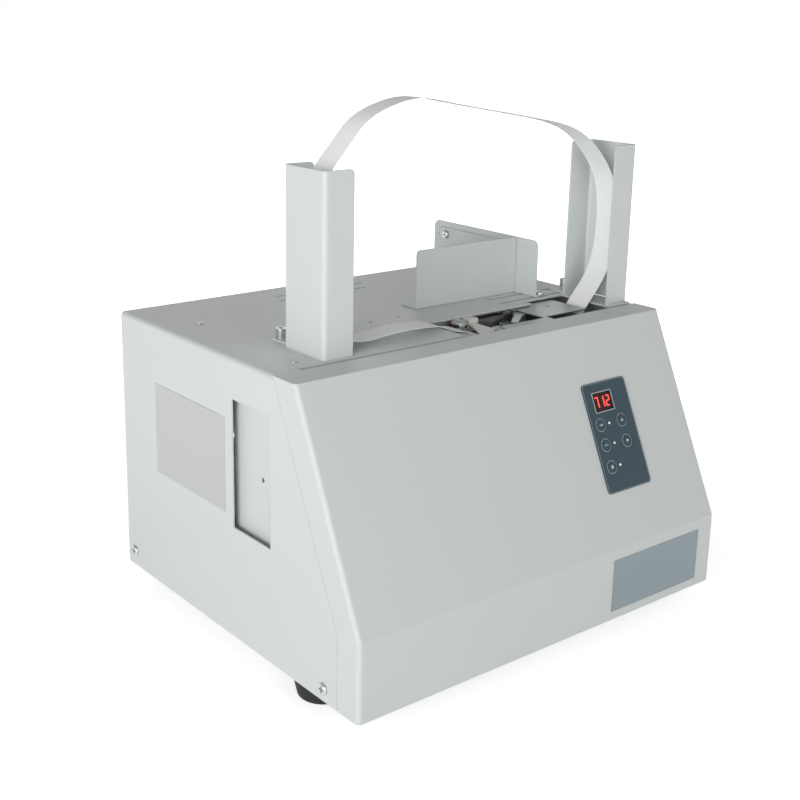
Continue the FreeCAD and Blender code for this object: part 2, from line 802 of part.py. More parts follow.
# Pressers, cutter, heater arm, anvil plate and their guides
presser_half = 5.5
presser_pitch = 18.0
presser_slices = (cam_slices[0], cam_slices[2], cam_slices[3])
cutter_slice = cam_slices[1]
presser_corner = 1.5
follower_corner = 3.2
presser_top = z_table - 12.0
presser_head_height = 10.0
presser_margin = 5.0
presser_back = 158.0
bar_half = 4.0
arm_rise = 26.0
arm_z = cam_z + arm_rise
arm_thickness = 9.0
guide_rise = 46.0
guide_thickness = 8.0
guide_left = 44.0
guide_low = cam_z + guide_rise
guide_high = guide_low + guide_thickness
guide_right = 108.0
blade_thickness = 1.0
blade_height = 20.0
heater_x = 100.0
heater_y = 158.0
heater_z = z_table - 5.4
heater_thickness = 1.0
heater_length = 34.0
heater_width = 7.0
heater_angle = math.radians(218)
heater_pin = 2.5
heater_eye = 6.0
heater_corner = 2.3
anvil_left = 50.0
anvil_right = 96.0
anvil_front = 171.0
anvil_back = 231.0
anvil_top = z_under - 0.3
anvil_thickness = 2.2
rail_lip = 3.0
rail_wall = 2.5
rail_thickness = 2.0

# Rollers of the feed
guide_roller_x = 27.0
guide_roller_radius = 5.0
guide_roller_edge = 1.0
guide_roller_z = z_table - guide_roller_radius
guide_roller_front = 155.0
guide_roller_back = 167.0
guide_shaft_radius = 1.6
guide_bush_wall = 1.5
hex_radius = 3.6
hex_height = 3.0
feed_radius = 14.0
feed_bore = 5.0
nip = band_thickness * 2
strip_thickness = 0.2
feed_z = guide_roller_z - guide_roller_radius - nip - feed_radius
feed_motor_half = 16.0
feed_motor_length = 40.0


def head_frame():
    top = z_under
    outer = box(frame_left, frame_right, cheek_front - cheek, cheek_back + cheek, z_pan, top)
    inner = box(frame_left - overrun, frame_right + overrun, cheek_front, cheek_back, z_pan + cheek,
                top + overrun)
    frame = outer.cut(inner)
    cuts = [box(frame_left - overrun, frame_right + overrun, cheek_front - overrun, cheek_front,
                top - cheek_drop, top + overrun),
            box(slot_step_x - sheet, frame_right + overrun, cheek_back - overrun, cheek_back + overrun,
                top - cheek_drop, top + overrun)]
    room = rail_wall + sliding_gap * 2
    cuts.append(box(anvil_left - room, anvil_right + room, cheek_back - overrun, cheek_back + overrun,
                    anvil_top - anvil_thickness - rail_thickness - sliding_gap * 2, top + overrun))
    for x0, x1, z0, z1 in frame_windows:
        cuts.append(box(x0, x1, cheek_front - overrun, cheek_back + overrun, z0, z1))
    y0 = cheek_front - overrun
    y1 = cheek_back + overrun
    cuts.append(rod_y(cam_x, cam_z, cam_shaft_radius + bush_wall, y0, y1))
    cuts.append(rod_y(motor_x, cam_z, motor_shaft_radius + bush_wall, y0, y1))
    cuts.append(rod_y(guide_roller_x, guide_roller_z, guide_shaft_radius + guide_bush_wall,
                      cheek_back - overrun, y1))
    cuts.append(rod_y(guide_roller_x, feed_z, feed_bore + bush_wall, y0, y1))
    cuts += [rod_z(x, y, side_screw_shank, z_pan - overrun, z_pan + overrun)
             for x, y in frame_screw_places]
    return frame.cut(cuts)


def bush(x, z, radius, wall, y0):
    ring = rod_y(x, z, radius + wall - running_gap, y0, y0 + bush_length)
    return ring.cut(rod_y(x, z, radius + running_gap, y0 - overrun, y0 + bush_length + overrun))


def shaft_bushes():
    front = cheek_front - cheek - (bush_length - cheek) / 2
    back = cheek_back + (cheek - bush_length) / 2
    solids = []
    for x, z, radius in ((cam_x, cam_z, cam_shaft_radius), (motor_x, cam_z, motor_shaft_radius),
                         (guide_roller_x, feed_z, feed_bore)):
        solids += [bush(x, z, radius, bush_wall, front),
                   bush(x, z, radius, bush_wall, back - bush_rear_shift)]
    solids.append(bush(guide_roller_x, guide_roller_z, guide_shaft_radius, guide_bush_wall,
                       back - bush_rear_shift))
    return solids


def cam(y_middle, lift):
    """A cam whose radius grows evenly, so that its follower rises evenly as it turns about +Y."""
    slope_of_cam = lift / cam_turn
    points = []
    for step in range(cam_steps):
        turn = 2 * math.pi * step / cam_steps
        if turn <= cam_rise:
            radius = cam_base + slope_of_cam * turn
        elif turn <= cam_rise + cam_fall:
            radius = cam_base + slope_of_cam * cam_rise * (cam_rise + cam_fall - turn) / cam_fall
        else:
            radius = cam_base
        points.append((cam_x - radius * math.sin(turn), cam_z + radius * math.cos(turn)))
    y0 = y_middle - cam_width / 2
    return prism_y(points, y0, y0 + cam_width).cut(
        rod_y(cam_x, cam_z, cam_shaft_radius, y0 - overrun, y0 + cam_width + overrun))


def drive_cams():
    return [cam(y, cam_lift) for y in cam_slices]


def pulley(x, radius, bore):
    y0 = pulley_front
    y1 = pulley_front + pulley_width
    rim = rod_y(x, cam_z, radius, y0, y1)
    for low, high in ((y0 - pulley_flange, y0), (y1, y1 + pulley_flange)):
        rim = rim.fuse(rod_y(x, cam_z, radius + pulley_flange_rise, low, high))
    return rim.removeSplitter().cut(rod_y(x, cam_z, bore, y0 - overrun, y1 + overrun))


def cam_shaft():
    return rod_y(cam_x, cam_z, cam_shaft_radius, pulley_front - overrun, cheek_back + cheek + overrun)


def motor_pulley():
    """The motor's pulley with the output shaft that it is keyed to."""
    shaft = rod_y(motor_x, cam_z, motor_shaft_radius, pulley_front - overrun, cheek_back + cheek)
    return pulley(motor_x, motor_pulley_radius, motor_shaft_radius).fuse(shaft).removeSplitter()


def loop_around(grow, y0, y1):
    """The solid outline of a belt round both pulleys, grown by the given amount."""
    big = cam_pulley_radius + grow
    small = motor_pulley_radius + grow
    span = motor_x - cam_x
    lean = math.asin((big - small) / span)
    points = []
    for sign in (1, -1):
        pair = [(cam_x + big * math.sin(lean), cam_z + sign * big * math.cos(lean)),
                (motor_x + small * math.sin(lean), cam_z + sign * small * math.cos(lean))]
        points += pair if sign > 0 else pair[::-1]
    ends = [rod_y(cam_x, cam_z, big, y0, y1), rod_y(motor_x, cam_z, small, y0, y1)]
    return prism_y(points, y0, y1).fuse(ends)


def drive_belt():
    y0 = pulley_front + sliding_gap
    y1 = pulley_front + pulley_width - sliding_gap
    outer = loop_around(sliding_gap + belt_thickness, y0, y1)
    return outer.cut(loop_around(sliding_gap, y0 - overrun, y1 + overrun)).removeSplitter()


def gear_motor():
    y0 = cheek_back + cheek
    y1 = y0 + gearbox_length
    gearbox = box(motor_x - gearbox_half, motor_x + gearbox_half, y0, y1, cam_z - gearbox_half,
                  cam_z + gearbox_half)
    gearbox = round_edges(gearbox, bend_outer, lambda e: runs_along(e, AXIS_Y))
    can = rod_y(motor_x, cam_z, motor_radius, y1, y1 + motor_length)
    cap = rod_y(motor_x, cam_z, motor_radius - motor_rib, y1 + motor_length, y1 + motor_length + motor_cap)
    whole = gearbox.fuse([can, cap]).removeSplitter()
    room = rod_y(motor_x, cam_z, motor_shaft_radius + bush_wall + sliding_gap, y0 - overrun, y0 + bush_length)
    return whole.cut(room)


def presser_place(number):
    """The middle of one presser's bar, in X and Y."""
    return cam_x + (number - 1) * presser_pitch, presser_slices[number]


def presser(number):
    """One presser: its head under the slot, its bar, and the arm and foot over its cam."""
    x, y = presser_place(number)
    low = presser_top - presser_head_height
    head = box(x - presser_half, x + presser_half, cheek_front + presser_margin,
               max(presser_back, y + bar_half), low, presser_top)
    head = round_edges(head, presser_corner, lambda e: runs_along(e, AXIS_Y)
                       and at(e.BoundBox.ZMax, presser_top))
    bar = box(x - bar_half, x + bar_half, y - bar_half, y + bar_half, arm_z, low)
    return head.fuse([bar, follower(x, y)]).removeSplitter()


def follower(x, y):
    """The foot that rests over a cam, and the arm from it to the bar at x."""
    low = cam_z + cam_base + follower_gap
    foot_bar = box(cam_x - bar_half, cam_x + bar_half, y - bar_half, y + bar_half, low, arm_z + arm_thickness)
    foot_bar = round_edges(foot_bar, follower_corner, lambda e: runs_along(e, AXIS_Y)
                           and at(e.BoundBox.ZMax, low))
    arm = box(min(x, cam_x) - bar_half, max(x, cam_x) + bar_half, y - bar_half, y + bar_half,
              arm_z, arm_z + arm_thickness)
    return foot_bar.fuse(arm)


def cutter_blade():
    y = cutter_slice
    x = cam_x - presser_pitch / 2
    thin = blade_thickness
    top = presser_top - thin
    stem = box(x - thin, x + thin, y - bar_half, y + bar_half, arm_z, top - blade_height)
    blade = box(x - thin / 2, x + thin / 2, cheek_front + presser_margin, cheek_back - presser_margin,
                top - blade_height, top)
    return stem.fuse([blade, follower(x, y)]).removeSplitter()


def head_guide():
    """The block between the cheeks that guides the bars, with the heater arm's pin."""
    block = box(guide_left, guide_right, cheek_front, cheek_back, guide_low, guide_high)
    cuts = []
    gap = sliding_gap
    for number in range(len(presser_slices)):
        x, y = presser_place(number)
        cuts.append(box(x - bar_half - gap, x + bar_half + gap, y - bar_half - gap, y + bar_half + gap,
                        guide_low - overrun, guide_high + overrun))
    x = cam_x - presser_pitch / 2
    cuts.append(box(x - blade_thickness - gap, x + blade_thickness + gap, cutter_slice - bar_half - gap,
                    cutter_slice + bar_half + gap, guide_low - overrun, guide_high + overrun))
    pin = rod_z(heater_x, heater_y, heater_pin, guide_high, heater_z + heater_thickness)
    collar = rod_z(heater_x, heater_y, heater_eye, guide_high, heater_z - sliding_gap)
    return block.cut(cuts).fuse([pin, collar]).removeSplitter()


def heater_arm():
    z1 = heater_z + heater_thickness
    eye = rod_z(heater_x, heater_y, heater_eye, heater_z, z1)
    blade = box(0, heater_length, -heater_width / 2, heater_width / 2, heater_z, z1)
    blade = round_edges(blade, heater_corner, lambda e: runs_along(e, AXIS_Z)
                        and at(e.BoundBox.XMin, heater_length))
    blade.rotate(vec(0, 0, 0), AXIS_Z, math.degrees(heater_angle))
    blade.translate(vec(heater_x, heater_y, 0))
    return eye.fuse(blade).removeSplitter().cut(
        rod_z(heater_x, heater_y, heater_pin + running_gap, heater_z - overrun, z1 + overrun))


def anvil_plate():
    plate = box(anvil_left, anvil_right, anvil_front, anvil_back, anvil_top - anvil_thickness, anvil_top)
    return round_edges(plate, bend_inner, lambda e: runs_along(e, AXIS_Z))


def anvil_rails():
    """Two rails under the table, in which the anvil plate slides."""
    solids = []
    y0 = cheek_back + cheek + sliding_gap
    low = anvil_top - anvil_thickness - sliding_gap
    for edge, side in ((anvil_left - sliding_gap, -1), (anvil_right + sliding_gap, 1)):
        outer = edge + side * rail_wall
        inner = edge - side * rail_lip
        wall = box(min(edge, outer), max(edge, outer), y0, anvil_back, low - rail_thickness, z_under)
        lip = box(min(edge, inner), max(edge, inner), y0, anvil_back, low - rail_thickness, low)
        solids.append(wall.fuse(lip).removeSplitter())
    return solids


def guide_roller():
    body = rod_y(guide_roller_x, guide_roller_z, guide_roller_radius, guide_roller_front, guide_roller_back)
    body = round_edges(body, guide_roller_edge, lambda e: not runs_along(e, AXIS_Y)
                       and at(e.BoundBox.YMin, guide_roller_front)
                       and at(e.BoundBox.YMax, guide_roller_front))
    points = [(guide_roller_x + v.x, guide_roller_z + v.y) for v in hexagon(hex_radius)[:-1]]
    nut = prism_y(points, guide_roller_front - hex_height, guide_roller_front)
    shaft = rod_y(guide_roller_x, guide_roller_z, guide_shaft_radius, guide_roller_back,
                  cheek_back + cheek + overrun)
    return body.fuse([nut, shaft]).removeSplitter()


def feed_shaft():
    return rod_y(guide_roller_x, feed_z, feed_bore, cheek_front - cheek - overrun, cheek_back + cheek)


def feed_roller():
    body = rod_y(guide_roller_x, feed_z, feed_radius, band_front, band_back)
    return body.cut(rod_y(guide_roller_x, feed_z, feed_bore, band_front - overrun, band_back + overrun))


def feed_motor():
    y0 = cheek_back + cheek
    half = feed_motor_half
    body = box(guide_roller_x - half, guide_roller_x + half, y0, y0 + feed_motor_length,
               feed_z - half, feed_z + half)
    body = round_edges(body, bend_outer, lambda e: runs_along(e, AXIS_Y))
    room = rod_y(guide_roller_x, feed_z, feed_bore + bush_wall + sliding_gap, y0 - overrun, y0 + bush_length)
    return body.cut(room)


# Guide plates at both ends of the head slot, and the shoe that guides the tape between them
plate_level = 2.8
guide_sheet = 1.2
rail_left = 46.0
rail_right = 108.0
rail_back = 129.0
rail_flange = 12.0
flap_left = 104.0
flap_margin = 16.0
flap_right = slot_right - flap_margin
flap_front = 131.0
flap_gap = 1.0
flap_web = 20.0
flap_hole_margin = 22.0
flap_hole_x = flap_right - flap_hole_margin
flap_hole_y = 160.0
flap_hole_half = 3.0
ramp_left = -6.0
ramp_right = 16.0
ramp_level = 2.6
ramp_drop = 3.6
ramp_web = 15.0
ramp_web_width = 7.5
shoe_left = 37.0
shoe_right = 49.0
shoe_front = 160.0
shoe_low = z_table - 13.0
shoe_high = z_under - sliding_gap
leaf = ((24.0, 130.0), (33.0, 122.5), (46.0, 134.0), (46.0, shoe_front + overrun),
        (shoe_left, shoe_front + overrun), (shoe_left, shoe_front - overrun))
leaf_top = z_table - 6.0
leaf_thickness = 1.4


def guide_plate_right():
    """The recessed flap with its rail along the slot's front, each on a flange down to a cheek."""
    top = z_table - plate_level
    low = top - guide_sheet
    step_back = slot_back + slot_step - flap_gap
    plate = prism_z([(rail_left, cheek_front), (rail_right, cheek_front), (rail_right, flap_front),
                     (flap_right, flap_front), (flap_right, step_back),
                     (slot_step_x + flap_gap, step_back), (slot_step_x + flap_gap, cheek_back),
                     (flap_left, cheek_back), (flap_left, rail_back), (rail_left, rail_back)], low, top)
    thick = guide_sheet
    flange = box(rail_left, rail_right, cheek_front, cheek_front + thick, low - rail_flange, low)
    web = box(flap_left + thick, flap_right, cheek_back - thick, cheek_back, top - flap_web, low)
    half = flap_hole_half
    hole = prism_z([(flap_hole_x - half, flap_hole_y), (flap_hole_x, flap_hole_y - half),
                    (flap_hole_x + half, flap_hole_y), (flap_hole_x, flap_hole_y + half)],
                   low - overrun, top + overrun)
    return plate.fuse([flange, web]).removeSplitter().cut(hole)


def guide_plate_left():
    top = z_table - ramp_level
    thick = guide_sheet
    points = [(ramp_left, top), (ramp_right, top - ramp_drop), (ramp_right, top - ramp_drop - thick),
              (ramp_left, top - thick)]
    plate = prism_y(points, cheek_front, cheek_back)
    web = box(ramp_left, ramp_left + ramp_web_width, cheek_back - thick, cheek_back,
              top - ramp_web, top - thick - ramp_level)
    return plate.fuse(web).removeSplitter()


def guide_shoe():
    """The block on the rear cheek, whose leaf reaches forward under the tape."""
    block = box(shoe_left, shoe_right, shoe_front, cheek_back, shoe_low, shoe_high)
    tongue = prism_z([(x, y) for x, y in leaf], leaf_top - leaf_thickness, leaf_top)
    return block.fuse(tongue).removeSplitter()


# Tape reel on its stand, and the inner strip of tape to the rollers
reel_x = (frame_left - x_wall) / 2
reel_z = 115.0
reel_clearance = 23.25
flange_radius = (frame_left + x_wall) / 2 - reel_clearance
flange_rise = 6.0
tape_radius = flange_radius - flange_rise
tape_core = 25.0
hub_bore = 8.0
boss_radius = 16.0
flange_thickness = 2.0
spindle_radius = hub_bore - running_gap
reel_knob_radius = 16.0
reel_knob_length = 12.0
reel_knob_ribs = 10
reel_knob_rib = 1.6
arc_share = 0.28
stand_thickness = 3.0
stand_half = 30.0
stand_corner = 15.0
stand_gap = 3.0
stand_front = band_back + flange_thickness + stand_gap
stand_foot = 25.0


def reel_stand():
    """The stand's plate with its foot on the pan, and the spindle that carries the reel."""
    plate = box(reel_x - stand_half, reel_x + stand_half, stand_front, stand_front + stand_thickness,
                z_pan, reel_z + stand_half)
    plate = round_edges(plate, stand_corner, lambda e: runs_along(e, AXIS_Y)
                        and at(e.BoundBox.ZMax, reel_z + stand_half))
    foot_plate = box(reel_x - stand_half, reel_x + stand_half, stand_front, stand_front + stand_foot,
                     z_pan, z_pan + stand_thickness)
    boss = rod_y(reel_x, reel_z, boss_radius, stand_front - sheet, stand_front)
    spindle = rod_y(reel_x, reel_z, spindle_radius, band_front - flange_thickness - sheet, stand_front)
    return plate.fuse([foot_plate, boss, spindle]).removeSplitter()


def reel_hub():
    """The hub with both its flanges."""
    y0 = band_front - sliding_gap
    y1 = band_back + sliding_gap
    hub = rod_y(reel_x, reel_z, tape_core - sliding_gap, y0, y1)
    for low in (y0 - flange_thickness, y1):
        hub = hub.fuse(rod_y(reel_x, reel_z, flange_radius, low, low + flange_thickness))
    return hub.removeSplitter().cut(rod_y(reel_x, reel_z, hub_bore, y0 - overrun, y1 + overrun))


def tape_roll():
    roll = rod_y(reel_x, reel_z, tape_radius, band_front, band_back)
    return roll.cut(rod_y(reel_x, reel_z, tape_core, band_front - overrun, band_back + overrun))


def reel_knob():
    """The ribbed knob that holds the reel on its spindle."""
    y1 = band_front - flange_thickness - sheet
    y0 = y1 - reel_knob_length
    knob = rod_y(reel_x, reel_z, reel_knob_radius, y0, y1)
    cuts = []
    for rib in range(reel_knob_ribs):
        turn = 2 * math.pi * rib / reel_knob_ribs
        x = reel_x + reel_knob_radius * math.cos(turn)
        z = reel_z + reel_knob_radius * math.sin(turn)
        cuts.append(rod_y(x, z, reel_knob_rib, y0 - overrun, y1 + overrun))
    return knob.cut(cuts)


def feed_strip():
    """The tape from the roll up to the nip: a straight run off the roll, an arc and a level run."""
    level = guide_roller_z - guide_roller_radius - nip / 2
    bend_x = guide_roller_x - feed_radius * 2
    radius = tape_radius + nip
    across = bend_x - reel_x
    up = level - reel_z
    lean = math.acos(radius / math.hypot(across, up)) - math.atan2(across, up)
    start = (reel_x - radius * math.sin(lean), reel_z + radius * math.cos(lean))
    reach = feed_radius
    before = (bend_x - reach * math.cos(lean), level - reach * math.sin(lean))
    after = (bend_x + reach, level)
    end = (guide_roller_x + guide_roller_radius, level)
    middle = ((start[0] + before[0]) / 2, (start[1] + before[1]) / 2)
    mid_arc = (bend_x + (before[0] + after[0] - 2 * bend_x) * arc_share,
               level + (before[1] + after[1] - 2 * level) * arc_share)
    return ribbon([start, middle, before, mid_arc, after, end], strip_thickness, band_front, band_back)


# Inner plate behind the side window
def window_plate():
    y0, y1, z0, z1 = window
    x1 = -x_wall + window_plate_inset
    front = y0 - window_plate_front
    low = z0 - window_plate_below
    high = z1 + window_plate_above
    plate = box(x1, x1 + sheet, front, y1 + window_plate_rear, low, high)
    arm = box(-x_wall, x1 + sheet, front, front + sheet, low, high)
    hole = rod_x(y1 - window_hole_rear, z0 + window_hole_low, clamp_shank, x1 - overrun, x1 + overrun)
    return plate.fuse(arm).removeSplitter().cut(hole)


# Electrics on the pan and on the rear panel
electrics_rear = 32.0
core_margin = 25.0
core_width = 70.0
core_left = -x_side + core_margin
core = (core_left, core_left + core_width, 225.0, 285.0)
core_height = 58.0
winding_margin = 10.0
winding_rise = 3.0
driver_gap = 30.0
driver_width = 90.0
driver_left = core_left + core_width + driver_gap
driver = (driver_left, driver_left + driver_width, 195.0, depth - electrics_rear)
driver_lift = 8.0
driver_margin = 5.0
chip_blocks = ((15.0, 6.0, 28.0, 18.0, 6.0), (50.0, 4.0, 22.0, 22.0, 3.0), (13.0, 30.0, 18.0, 28.0, 16.0),
               (45.0, 34.0, 12.0, 12.0, 20.0), (65.0, 34.0, 12.0, 12.0, 20.0))
connector_block = (25.0, 50.0, 9.0, 11.0)
connector_rear = 2.0
supply_gap = 15.0
supply_margin = 60.0
supply = (driver_left + driver_width + supply_gap, x_side - supply_margin, 215.0, depth - electrics_rear)
supply_height = 42.0
supply_slot_pitch = 12.0
supply_slot = 3.0
fan_depth = 25.0
fan_wall = 2.5
fan_hub = 18.0
fan_blades = 7
fan_blade_thickness = 2.0
fan_blade_twist = math.radians(35)
fan_gap = 1.5
fan_bar_half = 3.0
flange_rim = 4.0
flange_proud = 2.5
pin_length = 12.0
pin_half = (1.0, 2.0)
inlet_pin_places = ((-7.0, 0.0), (0.0, 3.5), (7.0, 0.0))
inlet_depth = 24.0
rocker_tilt = 7.0
rocker_pivot_depth = 2.0
rocker_travel = 14.0
rocker_shoulder_share = 0.8
rocker_root_share = 0.3
rocker_pin = 1.2
rocker_pin_reach = 5.6
fuse_cap = 7.5
fuse_proud = 6.0


def power_supply():
    x0, x1, y0, y1 = supply
    case = box(x0, x1, y0, y1, z_pan, z_pan + supply_height)
    inner = box(x0 + sheet, x1 - sheet, y0 + sheet, y1 - sheet, z_pan + sheet, z_pan + supply_height - sheet)
    slots = []
    for row in range(int((x1 - x0) / supply_slot_pitch) - 1):
        x = x0 + supply_slot_pitch * (row + 1)
        slots.append(box(x, x + supply_slot, y0 + supply_slot_pitch, y1 - supply_slot_pitch,
                         z_pan + supply_height - sheet * 2, z_pan + supply_height + overrun))
    return case.cut(inner).cut(slots)


def transformer_core():
    x0, x1, y0, y1 = core
    body = box(x0, x1, y0 + winding_margin, y1 - winding_margin, z_pan, z_pan + core_height)
    for low in (x0 + winding_margin, (x0 + x1) / 2 + winding_margin):
        high = low + (x1 - x0) / 2 - winding_margin * 2
        body = body.cut(box(low, high, y0, y1, z_pan + winding_margin, z_pan + core_height - winding_margin))
    return body


def transformer_winding():
    x0, x1, y0, y1 = core
    gap = sliding_gap
    coil = box(x0 + winding_margin + gap, x1 - winding_margin - gap, y0, y1, z_pan + winding_margin + gap,
               z_pan + core_height - winding_margin - gap)
    coil = round_edges(coil, winding_rise, lambda e: runs_along(e, AXIS_Z))
    middle = (x0 + x1) / 2
    leg = box(middle - winding_margin - gap, middle + winding_margin + gap, y0 + winding_margin - gap,
              y1 - winding_margin + gap, z_pan, z_pan + core_height)
    return coil.cut(leg)


def driver_board():
    x0, x1, y0, y1 = driver
    low = z_pan + driver_lift
    board = box(x0, x1, y0, y1, low, low + board_thickness)
    parts = []
    for x in (x0 + driver_margin, x1 - driver_margin):
        for y in (y0 + driver_margin, y1 - driver_margin):
            parts.append(rod_z(x, y, standoff_radius, z_pan, low))
    top = low + board_thickness
    for x, y, long_x, long_y, high in chip_blocks:
        parts.append(box(x0 + x, x0 + x + long_x, y0 + y, y0 + y + long_y, top, top + high))
    x, long_x, long_y, high = connector_block
    parts.append(box(x0 + x, x0 + x + long_x, y1 - connector_rear - long_y, y1 - connector_rear,
                     top, top + high))
    return board.fuse(parts).removeSplitter()


def fan_frame():
    y0 = rear_y - fan_depth
    half = fan_size / 2
    frame = box(fan_x - half, fan_x + half, y0, rear_y, fan_z - half, fan_z + half)
    frame = round_edges(frame, bend_outer, lambda e: runs_along(e, AXIS_Y))
    frame = frame.cut(rod_y(fan_x, fan_z, half - fan_wall, y0 - overrun, rear_y + overrun))
    disc_y = y0 + fan_wall
    bars = [rod_y(fan_x, fan_z, fan_hub, y0, disc_y)]
    for long_x, long_z in ((half - fan_wall / 2, fan_bar_half), (fan_bar_half, half - fan_wall / 2)):
        bars.append(box(fan_x - long_x, fan_x + long_x, y0, disc_y, fan_z - long_z, fan_z + long_z))
    axle = rod_y(fan_x, fan_z, fan_bar_half, disc_y, rear_y - fan_hub / 2)
    return frame.fuse(bars + [axle]).removeSplitter()


def fan_rotor():
    y0 = rear_y - fan_depth + fan_wall + fan_gap
    y1 = rear_y - fan_gap
    hub = rod_y(fan_x, fan_z, fan_hub, y0, y1)
    tip = fan_size / 2 - fan_wall - fan_gap
    blade = box(fan_hub - fan_wall, tip, -(y1 - y0) / 2, (y1 - y0) / 2, -fan_blade_thickness / 2,
                fan_blade_thickness / 2)
    blade.rotate(vec(0, 0, 0), AXIS_X, math.degrees(fan_blade_twist))
    ring = rod_y(0, 0, tip, -(y1 - y0) / 2 + fan_gap, (y1 - y0) / 2 - fan_gap)
    blade = blade.common(ring)
    blades = []
    for number in range(fan_blades):
        turned = blade.copy()
        turned.rotate(vec(0, 0, 0), AXIS_Y, full_turn * number / fan_blades)
        turned.translate(vec(fan_x, (y0 + y1) / 2, fan_z))
        blades.append(turned)
    bore = rod_y(fan_x, fan_z, fan_bar_half + running_gap, y0 - overrun, rear_y - fan_hub / 2 + sliding_gap)
    return hub.fuse(blades).removeSplitter().cut(bore)


def panel_fitting(x, body, depth_behind):
    """A rear fitting: a flange on the panel and a body through its cut-out."""
    wide, high = body[0] / 2, body[1] / 2
    flange = box(x - wide - flange_rim, x + wide + flange_rim, depth, depth + flange_proud,
                 inlet_z - high - flange_rim, inlet_z + high + flange_rim)
    flange = round_edges(flange, bend_inner, lambda e: runs_along(e, AXIS_Y))
    gap = sliding_gap
    tube = box(x - wide + gap, x + wide - gap, depth - depth_behind, depth, inlet_z - high + gap,
               inlet_z + high - gap)
    return flange.fuse(tube).removeSplitter()


def power_inlet():
    """The mains inlet: its shroud is open to the rear and holds three flat pins."""
    wide, high = inlet_body[0] / 2, inlet_body[1] / 2
    body = panel_fitting(inlet_x, inlet_body, inlet_depth)
    pocket = box(inlet_x - wide + sheet, inlet_x + wide - sheet, depth - pin_length,
                 depth + flange_proud + overrun, inlet_z - high + sheet, inlet_z + high - sheet)
    return body.cut(pocket)


def inlet_pins():
    solids = []
    y0 = depth - pin_length
    for x, z in inlet_pin_places:
        solids.append(box(inlet_x + x - pin_half[0], inlet_x + x + pin_half[0], y0, depth,
                          inlet_z + z - pin_half[1], inlet_z + z + pin_half[1]))
    return solids


def rocker_frame():
    wide, high = rocker_body[0] / 2, rocker_body[1] / 2
    body = panel_fitting(rocker_x, rocker_body, inlet_depth)
    pocket = box(rocker_x - wide + sheet, rocker_x + wide - sheet, depth - rocker_travel, depth + overrun * 2,
                 inlet_z - high + sheet, inlet_z + high - sheet)
    reach = rocker_pin_reach + sliding_gap
    pivot = rod_z(rocker_x, depth, rocker_pin + running_gap, inlet_z - reach, inlet_z + reach)
    return body.cut([pocket, pivot])


def rocker_key():
    """The rocker: a shallow V outline on a pivot pin along Z, tilted to its off side at rest."""
    wide = rocker_body[0] / 2 - sheet - sliding_gap * 2
    high = rocker_body[1] / 2 - sheet - sliding_gap
    face_y = flange_proud + rocker_pivot_depth
    tilt = math.tan(math.radians(rocker_tilt))
    deep = -rocker_travel / 2
    shoulder = wide * rocker_shoulder_share
    root = wide * rocker_root_share
    points = [(-wide, face_y), (0, face_y - wide * tilt), (wide, face_y), (shoulder, 0), (root, deep),
              (-root, deep), (-shoulder, 0)]
    body = prism_z(points, -high, high)
    body = body.fuse(rod_z(0, 0, rocker_pin, -rocker_pin_reach, rocker_pin_reach)).removeSplitter()
    body.rotate(vec(0, 0, 0), AXIS_Z, -rocker_tilt)
    body.translate(vec(rocker_x, depth, inlet_z))
    return body


def fuse_holder():
    body = rod_y(fuse_x, inlet_z, fuse_radius - sliding_gap, depth - inlet_depth, depth)
    cap = rod_y(fuse_x, inlet_z, fuse_cap, depth, depth + fuse_proud)
    slot = box(fuse_x - fuse_cap, fuse_x + fuse_cap, depth + fuse_proud - sheet, depth + fuse_proud + overrun,
               inlet_z - sheet / 2, inlet_z + sheet / 2)
    return body.fuse(cap).removeSplitter().cut(slot)


def side_screws():
    solids = []
    for y, z in side_screw_places:
        for side in (-1, 1):
            solids.append(screw(side_screw_radius, side_screw_head, side_screw_shank, side_screw_length,
                                vec(side * x_side, y, z), AXIS_X * side))
    return solids


def table_screws():
    return [screw(table_screw_radius, table_screw_head, side_screw_shank, side_screw_length,
                  vec(x, y, z_table), AXIS_Z) for x, y in table_screw_places]


def frame_screws():
    return [screw(frame_screw_radius, frame_screw_height, side_screw_shank, cheek + pan_wall,
                  vec(x, y, z_pan + cheek), AXIS_Z) for x, y in frame_screw_places]


# Every node, by name
keep("housing_shell", housing_shell())
keep("base_pan", base_pan())
keep("rear_panel", rear_panel())
keep("front_cover", front_cover())
keep("rubber_feet", [foot(x, y) for x, y in foot_places])
keep("housing_screws", side_screws() + table_screws() + frame_screws()
     + [foot_screw(x, y) for x, y in foot_places])
y_a, y_b, z_a, z_b = side_plate
keep("side_plate", box(-x_side - plate_thickness, -x_side, y_a, y_b, z_a, z_b))
x_a, x_b, z_a, z_b = front_plate
keep("front_plate", box(x_a, x_b, -plate_thickness, 0, z_a, z_b))
keep("window_plate", window_plate())
keep("control_panel", control_panel())
keep("display_window", display_window())
keep("display_module", display_module())
keep("display_lights", display_digits() + status_leds())
keep("control_board", control_board())
for key_name, (key_x, key_y) in key_places.items():
    keep(key_name, key(key_x, key_y))

left_post = post(False)
left_post.translate(vec(left_post_x, 0, 0))
right_post = mirrored(post(True))
right_post.translate(vec(right_post_x, 0, 0))
keep("left_post", left_post)
keep("right_post", right_post)
keep("post_screws", [cap_screw(x, y) for x, y in post_screw_places()])
keep("band_arch", band_arch())
keep("stop_side_plate", stop_side_plate())
keep("stop_bolts", stop_bolts())
keep("stop_face_plate", stop_face_plate())
keep("clamp_screw", clamp_screw())

